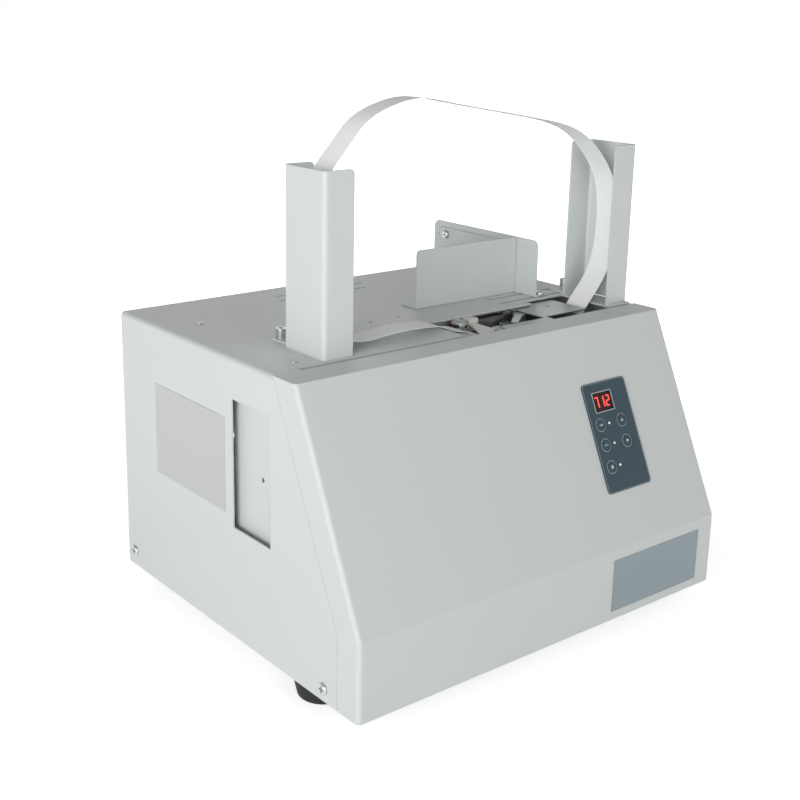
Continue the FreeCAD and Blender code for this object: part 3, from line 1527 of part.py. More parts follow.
keep("head_frame", head_frame())
keep("shaft_bushes", shaft_bushes())
keep("cam_shaft", [cam_shaft(), pulley(cam_x, cam_pulley_radius, cam_shaft_radius)])
keep("drive_cams", drive_cams())
keep("motor_pulley", motor_pulley())
keep("drive_belt", drive_belt())
keep("gear_motor", gear_motor())
for number, presser_name in enumerate(("left_presser", "middle_presser", "right_presser")):
    keep(presser_name, presser(number))
keep("cutter_blade", cutter_blade())
keep("head_guide", head_guide())
keep("heater_arm", heater_arm())
keep("anvil_plate", anvil_plate())
keep("anvil_rails", anvil_rails())
keep("guide_roller", guide_roller())
keep("feed_shaft", feed_shaft())
keep("feed_roller", feed_roller())
keep("feed_motor", feed_motor())
keep("slot_guides", [guide_plate_left(), guide_plate_right(), guide_shoe()])

keep("reel_stand", reel_stand())
keep("reel_hub", reel_hub())
keep("tape_roll", tape_roll())
keep("reel_knob", reel_knob())
keep("feed_strip", feed_strip())

keep("power_supply", power_supply())
keep("transformer", [transformer_core(), transformer_winding()])
keep("driver_board", driver_board())
keep("fan_frame", fan_frame())
keep("fan_rotor", fan_rotor())
keep("power_inlet", [power_inlet(), fuse_holder()] + inlet_pins())
keep("rocker_frame", rocker_frame())
keep("rocker_key", rocker_key())

# The origin lies under the middle of the whole footprint
footprint_front = -plate_thickness
footprint_back = depth + fuse_proud
middle_y = (footprint_front + footprint_back) / 2
os.makedirs("parts", exist_ok=True)
for node_name, node_shape in NODES.items():
    placed = node_shape.copy()
    placed.translate(vec(0, -middle_y, 0))
    placed.exportStep("parts/" + node_name + ".step")
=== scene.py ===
import json
import logging
import math
from dataclasses import dataclass
from enum import Enum
from typing import Callable, Iterable, Sequence

import bmesh
import bpy
from mathutils import Matrix, Vector

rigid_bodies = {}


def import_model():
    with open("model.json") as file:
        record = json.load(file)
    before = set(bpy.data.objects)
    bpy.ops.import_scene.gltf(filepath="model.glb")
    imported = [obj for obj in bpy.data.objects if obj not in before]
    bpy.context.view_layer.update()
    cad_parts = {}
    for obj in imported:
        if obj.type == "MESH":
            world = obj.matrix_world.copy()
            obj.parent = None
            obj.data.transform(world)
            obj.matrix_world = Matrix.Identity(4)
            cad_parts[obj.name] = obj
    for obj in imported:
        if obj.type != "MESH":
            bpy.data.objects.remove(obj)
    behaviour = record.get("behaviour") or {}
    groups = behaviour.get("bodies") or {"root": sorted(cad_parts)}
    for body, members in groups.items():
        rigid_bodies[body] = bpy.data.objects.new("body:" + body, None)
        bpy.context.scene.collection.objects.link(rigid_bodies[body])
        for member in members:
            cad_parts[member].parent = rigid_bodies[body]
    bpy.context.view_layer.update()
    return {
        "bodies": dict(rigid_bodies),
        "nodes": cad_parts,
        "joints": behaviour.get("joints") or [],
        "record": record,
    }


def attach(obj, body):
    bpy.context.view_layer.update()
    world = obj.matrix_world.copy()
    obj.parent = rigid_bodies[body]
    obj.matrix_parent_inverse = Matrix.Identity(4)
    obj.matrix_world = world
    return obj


logging.basicConfig(level=logging.INFO, format="%(name)s: %(message)s")
log = logging.getLogger("strapping_machine")

MM = 0.001
WHITE = (1.0, 1.0, 1.0, 1.0)
GREY = (0.5, 0.5, 0.5, 1.0)
Pair = tuple[float, float]
Triple = tuple[float, float, float]
Quad = tuple[float, float, float, float]
Route = tuple[Triple, ...]
Socket = bpy.types.NodeSocket
Sockets = bpy.types.bpy_prop_collection
Solid = bmesh.types.BMesh
FLOAT, VECTOR, COLOUR = "NodeSocketFloat", "NodeSocketVector", "NodeSocketColor"
INTEGER, MATERIAL, GEOMETRY = "NodeSocketInt", "NodeSocketMaterial", "NodeSocketGeometry"


def linear(red: int, green: int, blue: int) -> Triple:
    """Turns a colour as the eye reads it on a screen, 0 to 255, into linear light.

    Args:
        red: The red value.
        green: The green value.
        blue: The blue value.

    Returns:
        The three linear values, each from 0 to 1.
    """
    knee, slope, offset, power = 0.04045, 12.92, 0.055, 2.4
    values = []
    for value in (red, green, blue):
        share = value / 255
        values.append(share / slope if share <= knee else ((share + offset) / (1 + offset)) ** power)
    return (values[0], values[1], values[2])


class Surface(Enum):
    """The kinds of surface that the machine's finishes are built from."""

    POWDER_COAT = "powder_coat"
    MOULDED = "moulded"
    RUBBER = "rubber"
    BRUSHED = "brushed"
    TURNED = "turned"
    PAPER = "paper"
    TINTED = "tinted"
    LIT = "lit"
    BOARD = "board"


@dataclass(frozen=True)
class Finish:
    """One finish: its base colour and how fine, rough, worn and dusty its surface is."""

    name: str
    surface: Surface
    colour: Triple
    roughness: float = 0.5
    grain: float = 900.0
    relief: float = 0.05
    variation: float = 0.03
    wear: float = 0.0
    dust: float = 0.0
    soft_edge: float = 0.4
    metallic: float = 0.0
    glow: float = 0.0
    coat: float = 0.0


# Each finish reads: name, surface, colour, roughness, grain, relief, variation, wear, and the rest by name.
PALETTE = {finish.name: finish for finish in (
    Finish("housing_paint", Surface.POWDER_COAT, linear(212, 217, 215), 0.46, 1300, 0.25, 0.012, 0.05,
           dust=0.04, soft_edge=0.8),
    Finish("panel_overlay", Surface.MOULDED, linear(52, 74, 86), 0.42, 2600, 0.12, 0.015, 0.03),
    Finish("key_plastic", Surface.MOULDED, linear(54, 76, 88), 0.36, 2200, 0.1, 0.01, 0.06),
    Finish("display_tint", Surface.TINTED, linear(74, 32, 34), 0.12, 700, 0.01, 0.0),
    Finish("module_plastic", Surface.MOULDED, linear(38, 26, 28), 0.5, 1500, 0.1, 0.02),
    Finish("lit_red", Surface.LIT, linear(232, 46, 42), 0.4, 900, 0.02, 0.0, glow=3.4),
    Finish("circuit_board", Surface.BOARD, linear(34, 92, 58), 0.4, 1800, 0.1, 0.05),
    Finish("steel_plated", Surface.BRUSHED, linear(206, 208, 208), 0.28, 1500, 0.2, 0.05, 0.2, soft_edge=0.2,
           metallic=1.0),
    Finish("steel_sheet", Surface.BRUSHED, linear(184, 187, 188), 0.4, 1100, 0.3, 0.06, 0.15, dust=0.05,
           metallic=1.0),
    Finish("steel_dark", Surface.TURNED, linear(118, 120, 122), 0.38, 1300, 0.25, 0.08, 0.25, soft_edge=0.3,
           metallic=1.0),
    Finish("paper_band", Surface.PAPER, linear(248, 249, 250), 0.72, 1600, 0.3, 0.01, soft_edge=0.02),
    Finish("foot_rubber", Surface.RUBBER, linear(34, 34, 35), 0.78, 1400, 0.5, 0.05, dust=0.2, soft_edge=0.9),
    Finish("presser_plastic", Surface.MOULDED, linear(232, 231, 226), 0.4, 1500, 0.12, 0.02, 0.05),
    Finish("bronze", Surface.TURNED, linear(176, 134, 78), 0.36, 1300, 0.2, 0.06, 0.2, metallic=1.0),
    Finish("roller_rubber", Surface.RUBBER, linear(58, 58, 60), 0.7, 1200, 0.4, 0.05),
    Finish("belt_rubber", Surface.RUBBER, linear(30, 30, 31), 0.7, 1500, 0.5, 0.05, dust=0.1),
    Finish("black_plastic", Surface.MOULDED, linear(36, 37, 39), 0.46, 1400, 0.3, 0.04, 0.08, dust=0.06),
    Finish("grey_plastic", Surface.MOULDED, linear(138, 142, 144), 0.48, 1300, 0.25, 0.03),
    Finish("aluminium_cast", Surface.POWDER_COAT, linear(172, 174, 175), 0.46, 900, 0.5, 0.06, 0.12,
           metallic=0.9),
    Finish("core_iron", Surface.BRUSHED, linear(104, 102, 100), 0.52, 2200, 0.5, 0.1, metallic=0.8),
    Finish("rocker_red", Surface.MOULDED, linear(178, 34, 30), 0.3, 1500, 0.06, 0.02, coat=0.2),
    Finish("key_ring", Surface.MOULDED, linear(186, 192, 193), 0.45, 2200, 0.06, 0.01),
    Finish("key_mark", Surface.MOULDED, linear(212, 216, 216), 0.45, 2200, 0.05, 0.01),
    Finish("display_frame", Surface.MOULDED, linear(176, 182, 184), 0.42, 1800, 0.08, 0.02),
    Finish("side_film", Surface.MOULDED, linear(191, 194, 193), 0.4, 2500, 0.06, 0.01, soft_edge=0.05),
    Finish("front_film", Surface.MOULDED, linear(145, 160, 165), 0.36, 2500, 0.06, 0.01, soft_edge=0.05),
    Finish("tin", Surface.BRUSHED, linear(198, 199, 200), 0.3, 1600, 0.1, 0.04, metallic=1.0),
    Finish("resin", Surface.MOULDED, linear(24, 25, 27), 0.5, 1500, 0.2, 0.03),
    Finish("copper", Surface.TURNED, linear(180, 104, 66), 0.34, 1800, 0.2, 0.05, metallic=1.0),
    Finish("wire_red", Surface.RUBBER, linear(170, 40, 36), 0.45, 1500, 0.1, 0.02),
    Finish("wire_black", Surface.RUBBER, linear(30, 30, 32), 0.45, 1500, 0.1, 0.02),
    Finish("wire_blue", Surface.RUBBER, linear(44, 76, 132), 0.45, 1500, 0.1, 0.02),
    Finish("status_light", Surface.LIT, linear(226, 214, 206), 0.35, 900, 0.02, 0.0, glow=0.6),
)}

# Nodes whose tone in the photo differs from the finish that their material slot names.
NODE_FINISH = {"front_plate": "front_film", "side_plate": "side_film"}


class NodeBuilder:
    """Adds nodes to a tree and links them by socket name."""

    def __init__(self, tree: bpy.types.NodeTree) -> None:
        """Keeps the tree that the nodes go into."""
        self.tree = tree

    @classmethod
    def group(cls, name: str, inputs: Sequence[tuple], outputs: Sequence[tuple[str, str]],
              kind: str = "ShaderNodeTree") -> "NodeBuilder":
        """Starts a node group with its sockets, a Group Input and a Group Output node.

        Args:
            name: The group's name.
            inputs: Each input's name and socket type, and its default value if it has one.
            outputs: Each output's name and socket type.
            kind: The tree's type name.

        Returns:
            A builder for the new group's tree.
        """
        tree = bpy.data.node_groups.new(name, kind)
        for label, socket_type, *value in inputs:
            socket = tree.interface.new_socket(name=label, in_out="INPUT", socket_type=socket_type)
            if value:
                socket.default_value = value[0]
        for label, socket_type in outputs:
            tree.interface.new_socket(name=label, in_out="OUTPUT", socket_type=socket_type)
        tree.nodes.new("NodeGroupInput").name = "in"
        tree.nodes.new("NodeGroupOutput").name = "out"
        return cls(tree)

    def given(self, label: str) -> Socket:
        """Returns the socket inside the group that carries one of its inputs."""
        return self.tree.nodes["in"].outputs[label]

    def close(self, **sockets: Socket) -> bpy.types.NodeTree:
        """Links the group's outputs, which finishes it.

        Args:
            sockets: The socket that feeds each output, by the output's name.

        Returns:
            The finished tree.
        """
        for label, socket in sockets.items():
            self.tree.links.new(socket, self.tree.nodes["out"].inputs[label])
        return self.tree

    def add(self, kind: str, links: dict[object, object] | None = None, **settings: object) -> bpy.types.Node:
        """Adds one node.

        Args:
            kind: The node's type name.
            links: For each input, by name or number, a value or an output socket.
            settings: The node's own properties.

        Returns:
            The new node.
        """
        node = self.tree.nodes.new(kind)
        for label, value in settings.items():
            setattr(node, label, value)
        for label, value in (links or {}).items():
            self.feed(node, label, value)
        return node

    def feed(self, node: bpy.types.Node, label: object, value: object) -> None:
        """Links or sets one of a node's inputs.

        Args:
            node: The node.
            label: The input's name or number.
            value: The output socket that feeds it, or its plain value.
        """
        if isinstance(value, Socket):
            self.tree.links.new(value, node.inputs[label])
        else:
            node.inputs[label].default_value = value

    def maths(self, operation: str, *values: object) -> Socket:
        """Adds a Math node and returns its output; values are numbers or sockets."""
        return self.add("ShaderNodeMath", dict(enumerate(values)), operation=operation).outputs[0]

    def vector_maths(self, operation: str, links: dict[object, object], output: str = "Vector") -> Socket:
        """Adds a Vector Math node and returns one of its outputs."""
        return self.add("ShaderNodeVectorMath", links, operation=operation).outputs[output]

    def mix(self, share: object, first: object, second: object) -> Socket:
        """Mixes two colours by a share and returns the colour output."""
        return self.add("ShaderNodeMix", {0: share, 6: first, 7: second}, data_type="RGBA").outputs[2]

    def place(self) -> Socket:
        """Returns the place on the object itself, which textures read."""
        return self.add("ShaderNodeTexCoord").outputs["Object"]

    def noise(self, place: Socket, **values: object) -> Socket:
        """Adds a Noise Texture at a place and returns its strength."""
        return self.add("ShaderNodeTexNoise", {"Vector": place, **values}).outputs["Fac"]

    def spread(self, value: Socket, start: Pair, end: tuple = (0.0, 1.0), **settings: object) -> Socket:
        """Maps a value from one range to another and returns the result."""
        return self.add("ShaderNodeMapRange", {"Value": value, "From Min": start[0], "From Max": start[1],
                                               "To Min": end[0], "To Max": end[1]}, **settings).outputs[0]


class Effects:
    """The shader node groups that several finishes share, each built once."""

    edge_gain: float = 6.0
    coarse_share: float = 0.37
    dust_facing: Pair = (0.55, 0.95)
    dust_patches: Pair = (0.4, 0.75)
    dust_colour: Quad = (0.62, 0.61, 0.58, 1.0)

    def __init__(self) -> None:
        """Builds every shared group."""
        self.soft_edge = self.build_soft_edge()
        self.grain = self.build_grain()
        self.dust = self.build_dust()
        self.brush = self.build_brush()
        self.mottle = self.build_mottle()

    def build_soft_edge(self) -> bpy.types.NodeTree:
        """Builds the group that rounds sharp edges in the shading and finds them as a mask.

        Returns:
            The finished tree.
        """
        make = NodeBuilder.group("SoftEdge", [("Radius", FLOAT, 0.0004)],
                                 [("Normal", VECTOR), ("Edge", FLOAT)])
        bevel = make.add("ShaderNodeBevel", {"Radius": make.given("Radius")}, samples=4).outputs[0]
        flat = make.add("ShaderNodeNewGeometry").outputs["Normal"]
        turned = make.maths("SUBTRACT", 1.0, make.vector_maths("DOT_PRODUCT", {0: bevel, 1: flat}, "Value"))
        edge = make.add("ShaderNodeClamp", {"Value": make.maths("MULTIPLY", turned, self.edge_gain)})
        return make.close(Normal=bevel, Edge=edge.outputs[0])

    def build_grain(self) -> bpy.types.NodeTree:
        """Builds the fine relief of powder coat, moulded plastic and rubber.

        Returns:
            The finished tree.
        """
        make = NodeBuilder.group("FineGrain", [("Scale", FLOAT, 900.0), ("Depth", FLOAT, 0.1)],
                                 [("Height", FLOAT), ("Speckle", FLOAT)])
        place = make.place()
        fine = make.noise(place, Scale=make.given("Scale"), Detail=2.0, Roughness=0.55)
        half = make.maths("MULTIPLY", make.given("Scale"), self.coarse_share)
        coarse = make.noise(place, Scale=half, Detail=1.0)
        height = make.maths("MULTIPLY", make.maths("ADD", fine, coarse), make.given("Depth"))
        return make.close(Height=height, Speckle=fine)

    def build_dust(self) -> bpy.types.NodeTree:
        """Builds the thin dust that lies on faces that look up.

        Returns:
            The finished tree.
        """
        make = NodeBuilder.group("LightDust", [("Colour", COLOUR, GREY), ("Amount", FLOAT, 0.1)],
                                 [("Colour", COLOUR), ("Mask", FLOAT)])
        normal = make.add("ShaderNodeNewGeometry").outputs["Normal"]
        facing = make.spread(make.add("ShaderNodeSeparateXYZ", {0: normal}).outputs["Z"], self.dust_facing)
        cloud = make.noise(make.place(), Scale=34.0, Detail=5.0, Roughness=0.7)
        patch = make.spread(cloud, self.dust_patches)
        mask = make.maths("MULTIPLY", make.maths("MULTIPLY", facing, patch), make.given("Amount"))
        return make.close(Colour=make.mix(mask, make.given("Colour"), self.dust_colour), Mask=mask)

    def build_brush(self) -> bpy.types.NodeTree:
        """Builds the fine parallel lines of rolled or brushed metal.

        Returns:
            The finished tree.
        """
        inputs = [("Stretch", VECTOR, (40.0, 900.0, 900.0)), ("Depth", FLOAT, 0.1)]
        make = NodeBuilder.group("BrushLines", inputs, [("Height", FLOAT), ("Streak", FLOAT)])
        scaled = make.vector_maths("MULTIPLY", {0: make.place(), 1: make.given("Stretch")})
        lines = make.noise(scaled, Scale=1.0, Detail=3.0)
        return make.close(Height=make.maths("MULTIPLY", lines, make.given("Depth")), Streak=lines)

    def build_mottle(self) -> bpy.types.NodeTree:
        """Builds the slow change of tone over a surface.

        Returns:
            The finished tree.
        """
        make = NodeBuilder.group("SlowMottle", [("Colour", COLOUR, GREY), ("Amount", FLOAT, 0.03)],
                                 [("Colour", COLOUR), ("Tone", FLOAT)])
        slow = make.noise(make.place(), Scale=9.0, Detail=4.0, Roughness=0.6)
        swing = make.maths("MULTIPLY", make.maths("SUBTRACT", slow, 0.5), make.given("Amount"))
        gain = make.maths("MULTIPLY_ADD", swing, 2.0, 1.0)
        toned = make.vector_maths("SCALE", {0: make.given("Colour"), "Scale": gain})
        return make.close(Colour=toned, Tone=slow)


class Finishes:
    """Turns each finish into a material once, and hands it out by name."""

    tint_alpha: float = 0.22
    tint_ior: float = 1.45
    worn_gain: float = 1.25
    worn_lift: float = 0.05
    rough_swing: float = 0.12
    bump_strength: float = 0.35
    bump_distance: float = 0.2 * MM
    line_length: float = 30.0
    hot_share: float = 0.2
    hot_colour: Quad = (1.0, 0.45, 0.3, 1.0)

    def __init__(self, effects: Effects) -> None:
        """Keeps the shared effects and an empty list of materials."""
        self.effects = effects
        self.made: dict[str, bpy.types.Material] = {}

    def get(self, name: str) -> bpy.types.Material:
        """Returns a finish's material by the finish's name, and builds it the first time.

        Args:
            name: The name of the finish that is wanted.

        Returns:
            The material.
        """
        if name not in self.made:
            self.made[name] = self.build(PALETTE[name])
        return self.made[name]

    def build(self, finish: Finish) -> bpy.types.Material:
        """Builds one material from its finish.

        Args:
            finish: The finish to build.

        Returns:
            The new material.
        """
        material = bpy.data.materials.new(finish.name)
        material.use_nodes = True
        make = NodeBuilder(material.node_tree)
        shader = make.tree.nodes["Principled BSDF"]
        colour = (*finish.colour, 1.0)
        shader.inputs["Metallic"].default_value = finish.metallic
        shader.inputs["Coat Weight"].default_value = finish.coat
        if finish.surface is Surface.TINTED:
            shader.inputs["Alpha"].default_value = self.tint_alpha
            shader.inputs["IOR"].default_value = self.tint_ior
        mottle = self.effect(make, self.effects.mottle, Colour=colour, Amount=finish.variation)
        dust = self.effect(make, self.effects.dust, Colour=mottle["Colour"], Amount=finish.dust)
        edge = self.effect(make, self.effects.soft_edge, Radius=finish.soft_edge * MM)
        relief = self.relief(make, finish)
        lighter = tuple(min(1.0, value * self.worn_gain + self.worn_lift) for value in finish.colour)
        worn = make.maths("MULTIPLY", edge["Edge"], finish.wear)
        make.feed(shader, "Base Color", make.mix(worn, dust["Colour"], (*lighter, 1.0)))
        smoothest = finish.roughness - self.rough_swing / 2
        rough = make.maths("MULTIPLY_ADD", relief[1], self.rough_swing, smoothest)
        make.feed(shader, "Roughness", make.maths("ADD", rough, dust["Mask"]))
        bump = make.add("ShaderNodeBump", {"Height": relief["Height"], "Normal": edge["Normal"],
                                           "Strength": self.bump_strength, "Distance": self.bump_distance})
        make.feed(shader, "Normal", bump.outputs[0])
        if finish.surface is Surface.LIT:
            hot = make.maths("MULTIPLY", relief[1], self.hot_share)
            make.feed(shader, "Emission Color", make.mix(hot, colour, self.hot_colour))
            make.feed(shader, "Emission Strength", finish.glow)
        return material

    @staticmethod
    def effect(make: NodeBuilder, group: bpy.types.NodeTree, **values: object) -> Sockets:
        """Puts one shared group into a material's tree and returns its outputs."""
        return make.add("ShaderNodeGroup", values, node_tree=group).outputs

    def relief(self, make: NodeBuilder, finish: Finish) -> Sockets:
        """Places the relief that suits a surface: lines on bare metal, grain on all others.

        Args:
            make: The builder of the material's tree.
            finish: The finish that the material is built from.

        Returns:
            The outputs of the relief's group: its height, and how it changes over the surface.
        """
        stretches = {Surface.BRUSHED: (self.line_length, finish.grain, finish.grain),
                     Surface.TURNED: (finish.grain, self.line_length, finish.grain)}
        if finish.surface in stretches:
            stretch = stretches[finish.surface]
            return self.effect(make, self.effects.brush, Stretch=stretch, Depth=finish.relief)
        return self.effect(make, self.effects.grain, Scale=finish.grain, Depth=finish.relief)


@dataclass(frozen=True)
class View:
    """The camera that sees the machine as the photo does."""

    place: Triple = (-0.727, -0.84575, 0.547)
    yaw: float = 38.37
    pitch: float = 15.02
    roll: float = 0.87
    lens: float = 56.75
    sensor: float = 36.0
    shift: Pair = (0.036, -0.079)
    clip: Pair = (0.05, 20.0)

    def build(self) -> None:
        """Adds the camera and makes it the scene's own."""
        yaw, pitch, roll = (math.radians(angle) for angle in (self.yaw, self.pitch, self.roll))
        ahead = Vector((math.sin(yaw) * math.cos(pitch), math.cos(yaw) * math.cos(pitch), -math.sin(pitch)))
        right = Vector((math.cos(yaw), -math.sin(yaw), 0.0))
        up = right.cross(ahead)
        side = right * math.cos(roll) + up * math.sin(roll)
        top = up * math.cos(roll) - right * math.sin(roll)
        data = bpy.data.cameras.new("photo_camera")
        data.lens = self.lens
        data.sensor_width = self.sensor
        data.shift_x, data.shift_y = self.shift
        data.clip_start, data.clip_end = self.clip
        camera = bpy.data.objects.new("photo_camera", data)
        turn = Matrix((side, top, -ahead)).transposed().to_4x4()
        camera.matrix_world = Matrix.Translation(self.place) @ turn
        bpy.context.scene.collection.objects.link(camera)
        bpy.context.scene.camera = camera


@dataclass(frozen=True)
class SoftBox:
    """One large area lamp."""

    name: str
    place: Triple
    aim: Triple
    size: Pair
    power: float

    def build(self) -> None:
        """Adds the lamp, turned towards its aim."""
        data = bpy.data.lights.new(self.name, "AREA")
        data.shape = "RECTANGLE"
        data.size, data.size_y = self.size
        data.energy = self.power
        lamp = bpy.data.objects.new(self.name, data)
        lamp.location = self.place
        heading = Vector(self.aim) - Vector(self.place)
        lamp.rotation_euler = heading.to_track_quat("-Z", "Y").to_euler()
        bpy.context.scene.collection.objects.link(lamp)


@dataclass(frozen=True)
class Studio:
    """The pale floor, the soft lamps and the white surround."""

    lamps: tuple[SoftBox, ...] = (
        SoftBox("left_lamp", (-2.2, -1.15, 0.6), (0.0, 0.0, 0.22), (1.5, 1.2), 33.0),
        SoftBox("front_lamp", (-0.2, -2.4, 0.65), (0.0, 0.0, 0.22), (1.6, 1.2), 6.5),
        SoftBox("rear_lamp", (1.2, 2.0, 1.2), (0.0, 0.0, 0.2), (1.6, 1.3), 4.0))
    surround: Pair = (0.78, 0.26)
    surround_rise: Pair = (0.0, 0.65)
    floor_half: float = 6.0
    floor_fade: Pair = (0.3, 0.75)
    floor_glow: Pair = (0.62, 1.3)
    floor_grey: float = 0.88
    floor_roughness: float = 0.9
    floor_shine: float = 0.1

    def build(self) -> None:
        """Builds the lamps, the floor and the surround."""
        for lamp in self.lamps:
            lamp.build()
        self.build_floor()
        self.build_world()
        bpy.context.scene.view_settings.view_transform = "Standard"

    def build_floor(self) -> None:
        """Adds the floor, which the camera sees as plain white around the soft shadow."""
        mesh = bpy.data.meshes.new("floor")
        half = self.floor_half
        mesh.from_pydata([(-half, -half, 0), (half, -half, 0), (half, half, 0), (-half, half, 0)], [],
                         [(0, 1, 2, 3)])
        floor = bpy.data.objects.new("floor", mesh)
        bpy.context.scene.collection.objects.link(floor)
        mesh.materials.append(self.floor_material())

    def floor_material(self) -> bpy.types.Material:
        """Builds the floor's finish, which fades to plain white away from the machine, also in mirrors.

        Returns:
            The new material.
        """
        material = bpy.data.materials.new("floor_white")
        material.use_nodes = True
        make = NodeBuilder(material.node_tree)
        shader = make.tree.nodes["Principled BSDF"]
        away = make.vector_maths("LENGTH", {0: make.place()}, "Value")
        glow = make.spread(away, self.floor_fade, self.floor_glow, interpolation_type="SMOOTHSTEP")
        rays = make.add("ShaderNodeLightPath").outputs
        seen = make.maths("MAXIMUM", rays["Is Camera Ray"], rays["Is Glossy Ray"])
        grey = (self.floor_grey, self.floor_grey, self.floor_grey, 1.0)
        for label, value in (("Base Color", grey), ("Roughness", self.floor_roughness),
                             ("Specular IOR Level", self.floor_shine), ("Emission Color", WHITE),
                             ("Emission Strength", make.maths("MULTIPLY", glow, seen))):
            make.feed(shader, label, value)
        return material

    def build_world(self) -> None:
        """Lights the scene softly, more from the sides than from above, and shows plain white behind it."""
        world = bpy.data.worlds.new("surround")
        world.use_nodes = True
        bpy.context.scene.world = world
        make = NodeBuilder(world.node_tree)
        rays = make.add("ShaderNodeLightPath").outputs
        seen = make.maths("MAXIMUM", rays["Is Camera Ray"], rays["Is Transmission Ray"])
        heading = make.add("ShaderNodeTexCoord").outputs["Generated"]
        up = make.add("ShaderNodeSeparateXYZ", {0: heading}).outputs["Z"]
        light = make.spread(up, self.surround_rise, self.surround)
        background = make.tree.nodes["Background"]
        make.feed(background, "Color", WHITE)
        make.feed(background, "Strength", make.spread(seen, (0.0, 1.0), (light, 1.0)))


class Workshop:
    """Makes pieces out of plain mesh data, dresses them, and lets them ride on the machine's bodies."""

    merge_distance: float = 1e-7
    sharp_angle: float = math.radians(35)

    def __init__(self, frame: dict, finishes: Finishes) -> None:
        """Keeps the loaded frame's nodes and record.

        Args:
            finishes: Where materials come from.
        """
        self.nodes: dict[str, bpy.types.Object] = frame["nodes"]
        self.record: dict = frame["record"]
        self.finishes = finishes
        self.count = 0

    def dress(self, node: str, finish: str) -> None:
        """Gives one node of the CAD part its finish, on the object's own slots.

        Args:
            node: The node's name.
            finish: The finish's name.
        """
        thing = self.nodes[node]
        if not thing.material_slots:
            thing.data.materials.append(None)
        for slot in thing.material_slots:
            slot.link = "OBJECT"
            slot.material = self.finishes.get(finish)

    def paint_faces(self, node: str, finish: str, wanted: Callable[[Vector], bool]) -> None:
        """Gives a second finish to the node's faces whose middle passes a test.

        Args:
            node: The node's name.
            finish: The second finish's name.
            wanted: The test, which reads the face's middle in metres.
        """
        thing = self.nodes[node]
        thing.data.materials.append(None)
        slot = thing.material_slots[-1]
        slot.link = "OBJECT"
        slot.material = self.finishes.get(finish)
        for face in thing.data.polygons:
            if wanted(face.center):
                face.material_index = len(thing.material_slots) - 1

    def add(self, name: str, mesh: bpy.types.Mesh, body: str) -> None:
        """Adds a mesh to the scene as a piece that rides on a body.

        Args:
            name: The piece's name.
            mesh: The piece's mesh, in the machine's own frame.
            body: The body that carries the piece.
        """
        thing = bpy.data.objects.new(name, mesh)
        bpy.context.scene.collection.objects.link(thing)
        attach(thing, body)
        self.count += 1
        log.info("piece %d: %s on %s", self.count, name, body)

    def piece(self, name: str, shape: Solid, body: str, finish: str, smooth: bool = True) -> None:
        """Turns a finished shape into a piece that rides on a body.

        Args:
            name: The piece's name.
            shape: The shape, in metres, in the machine's own frame; it is freed here.
            body: The body that carries the piece.
            finish: The finish's name.
            smooth: Whether curved faces are shaded smoothly.
        """
        bmesh.ops.remove_doubles(shape, verts=shape.verts, dist=self.merge_distance)
        bmesh.ops.recalc_face_normals(shape, faces=shape.faces)
        shape.normal_update()
        if smooth:
            for face in shape.faces:
                face.smooth = True
            for edge in shape.edges:
                edge.smooth = not (len(edge.link_faces) == 2 and edge.calc_face_angle(0.0) > self.sharp_angle)
        mesh = bpy.data.meshes.new(name)
        shape.to_mesh(mesh)
        shape.free()
        mesh.materials.append(self.finishes.get(finish))
        self.add(name, mesh, body)


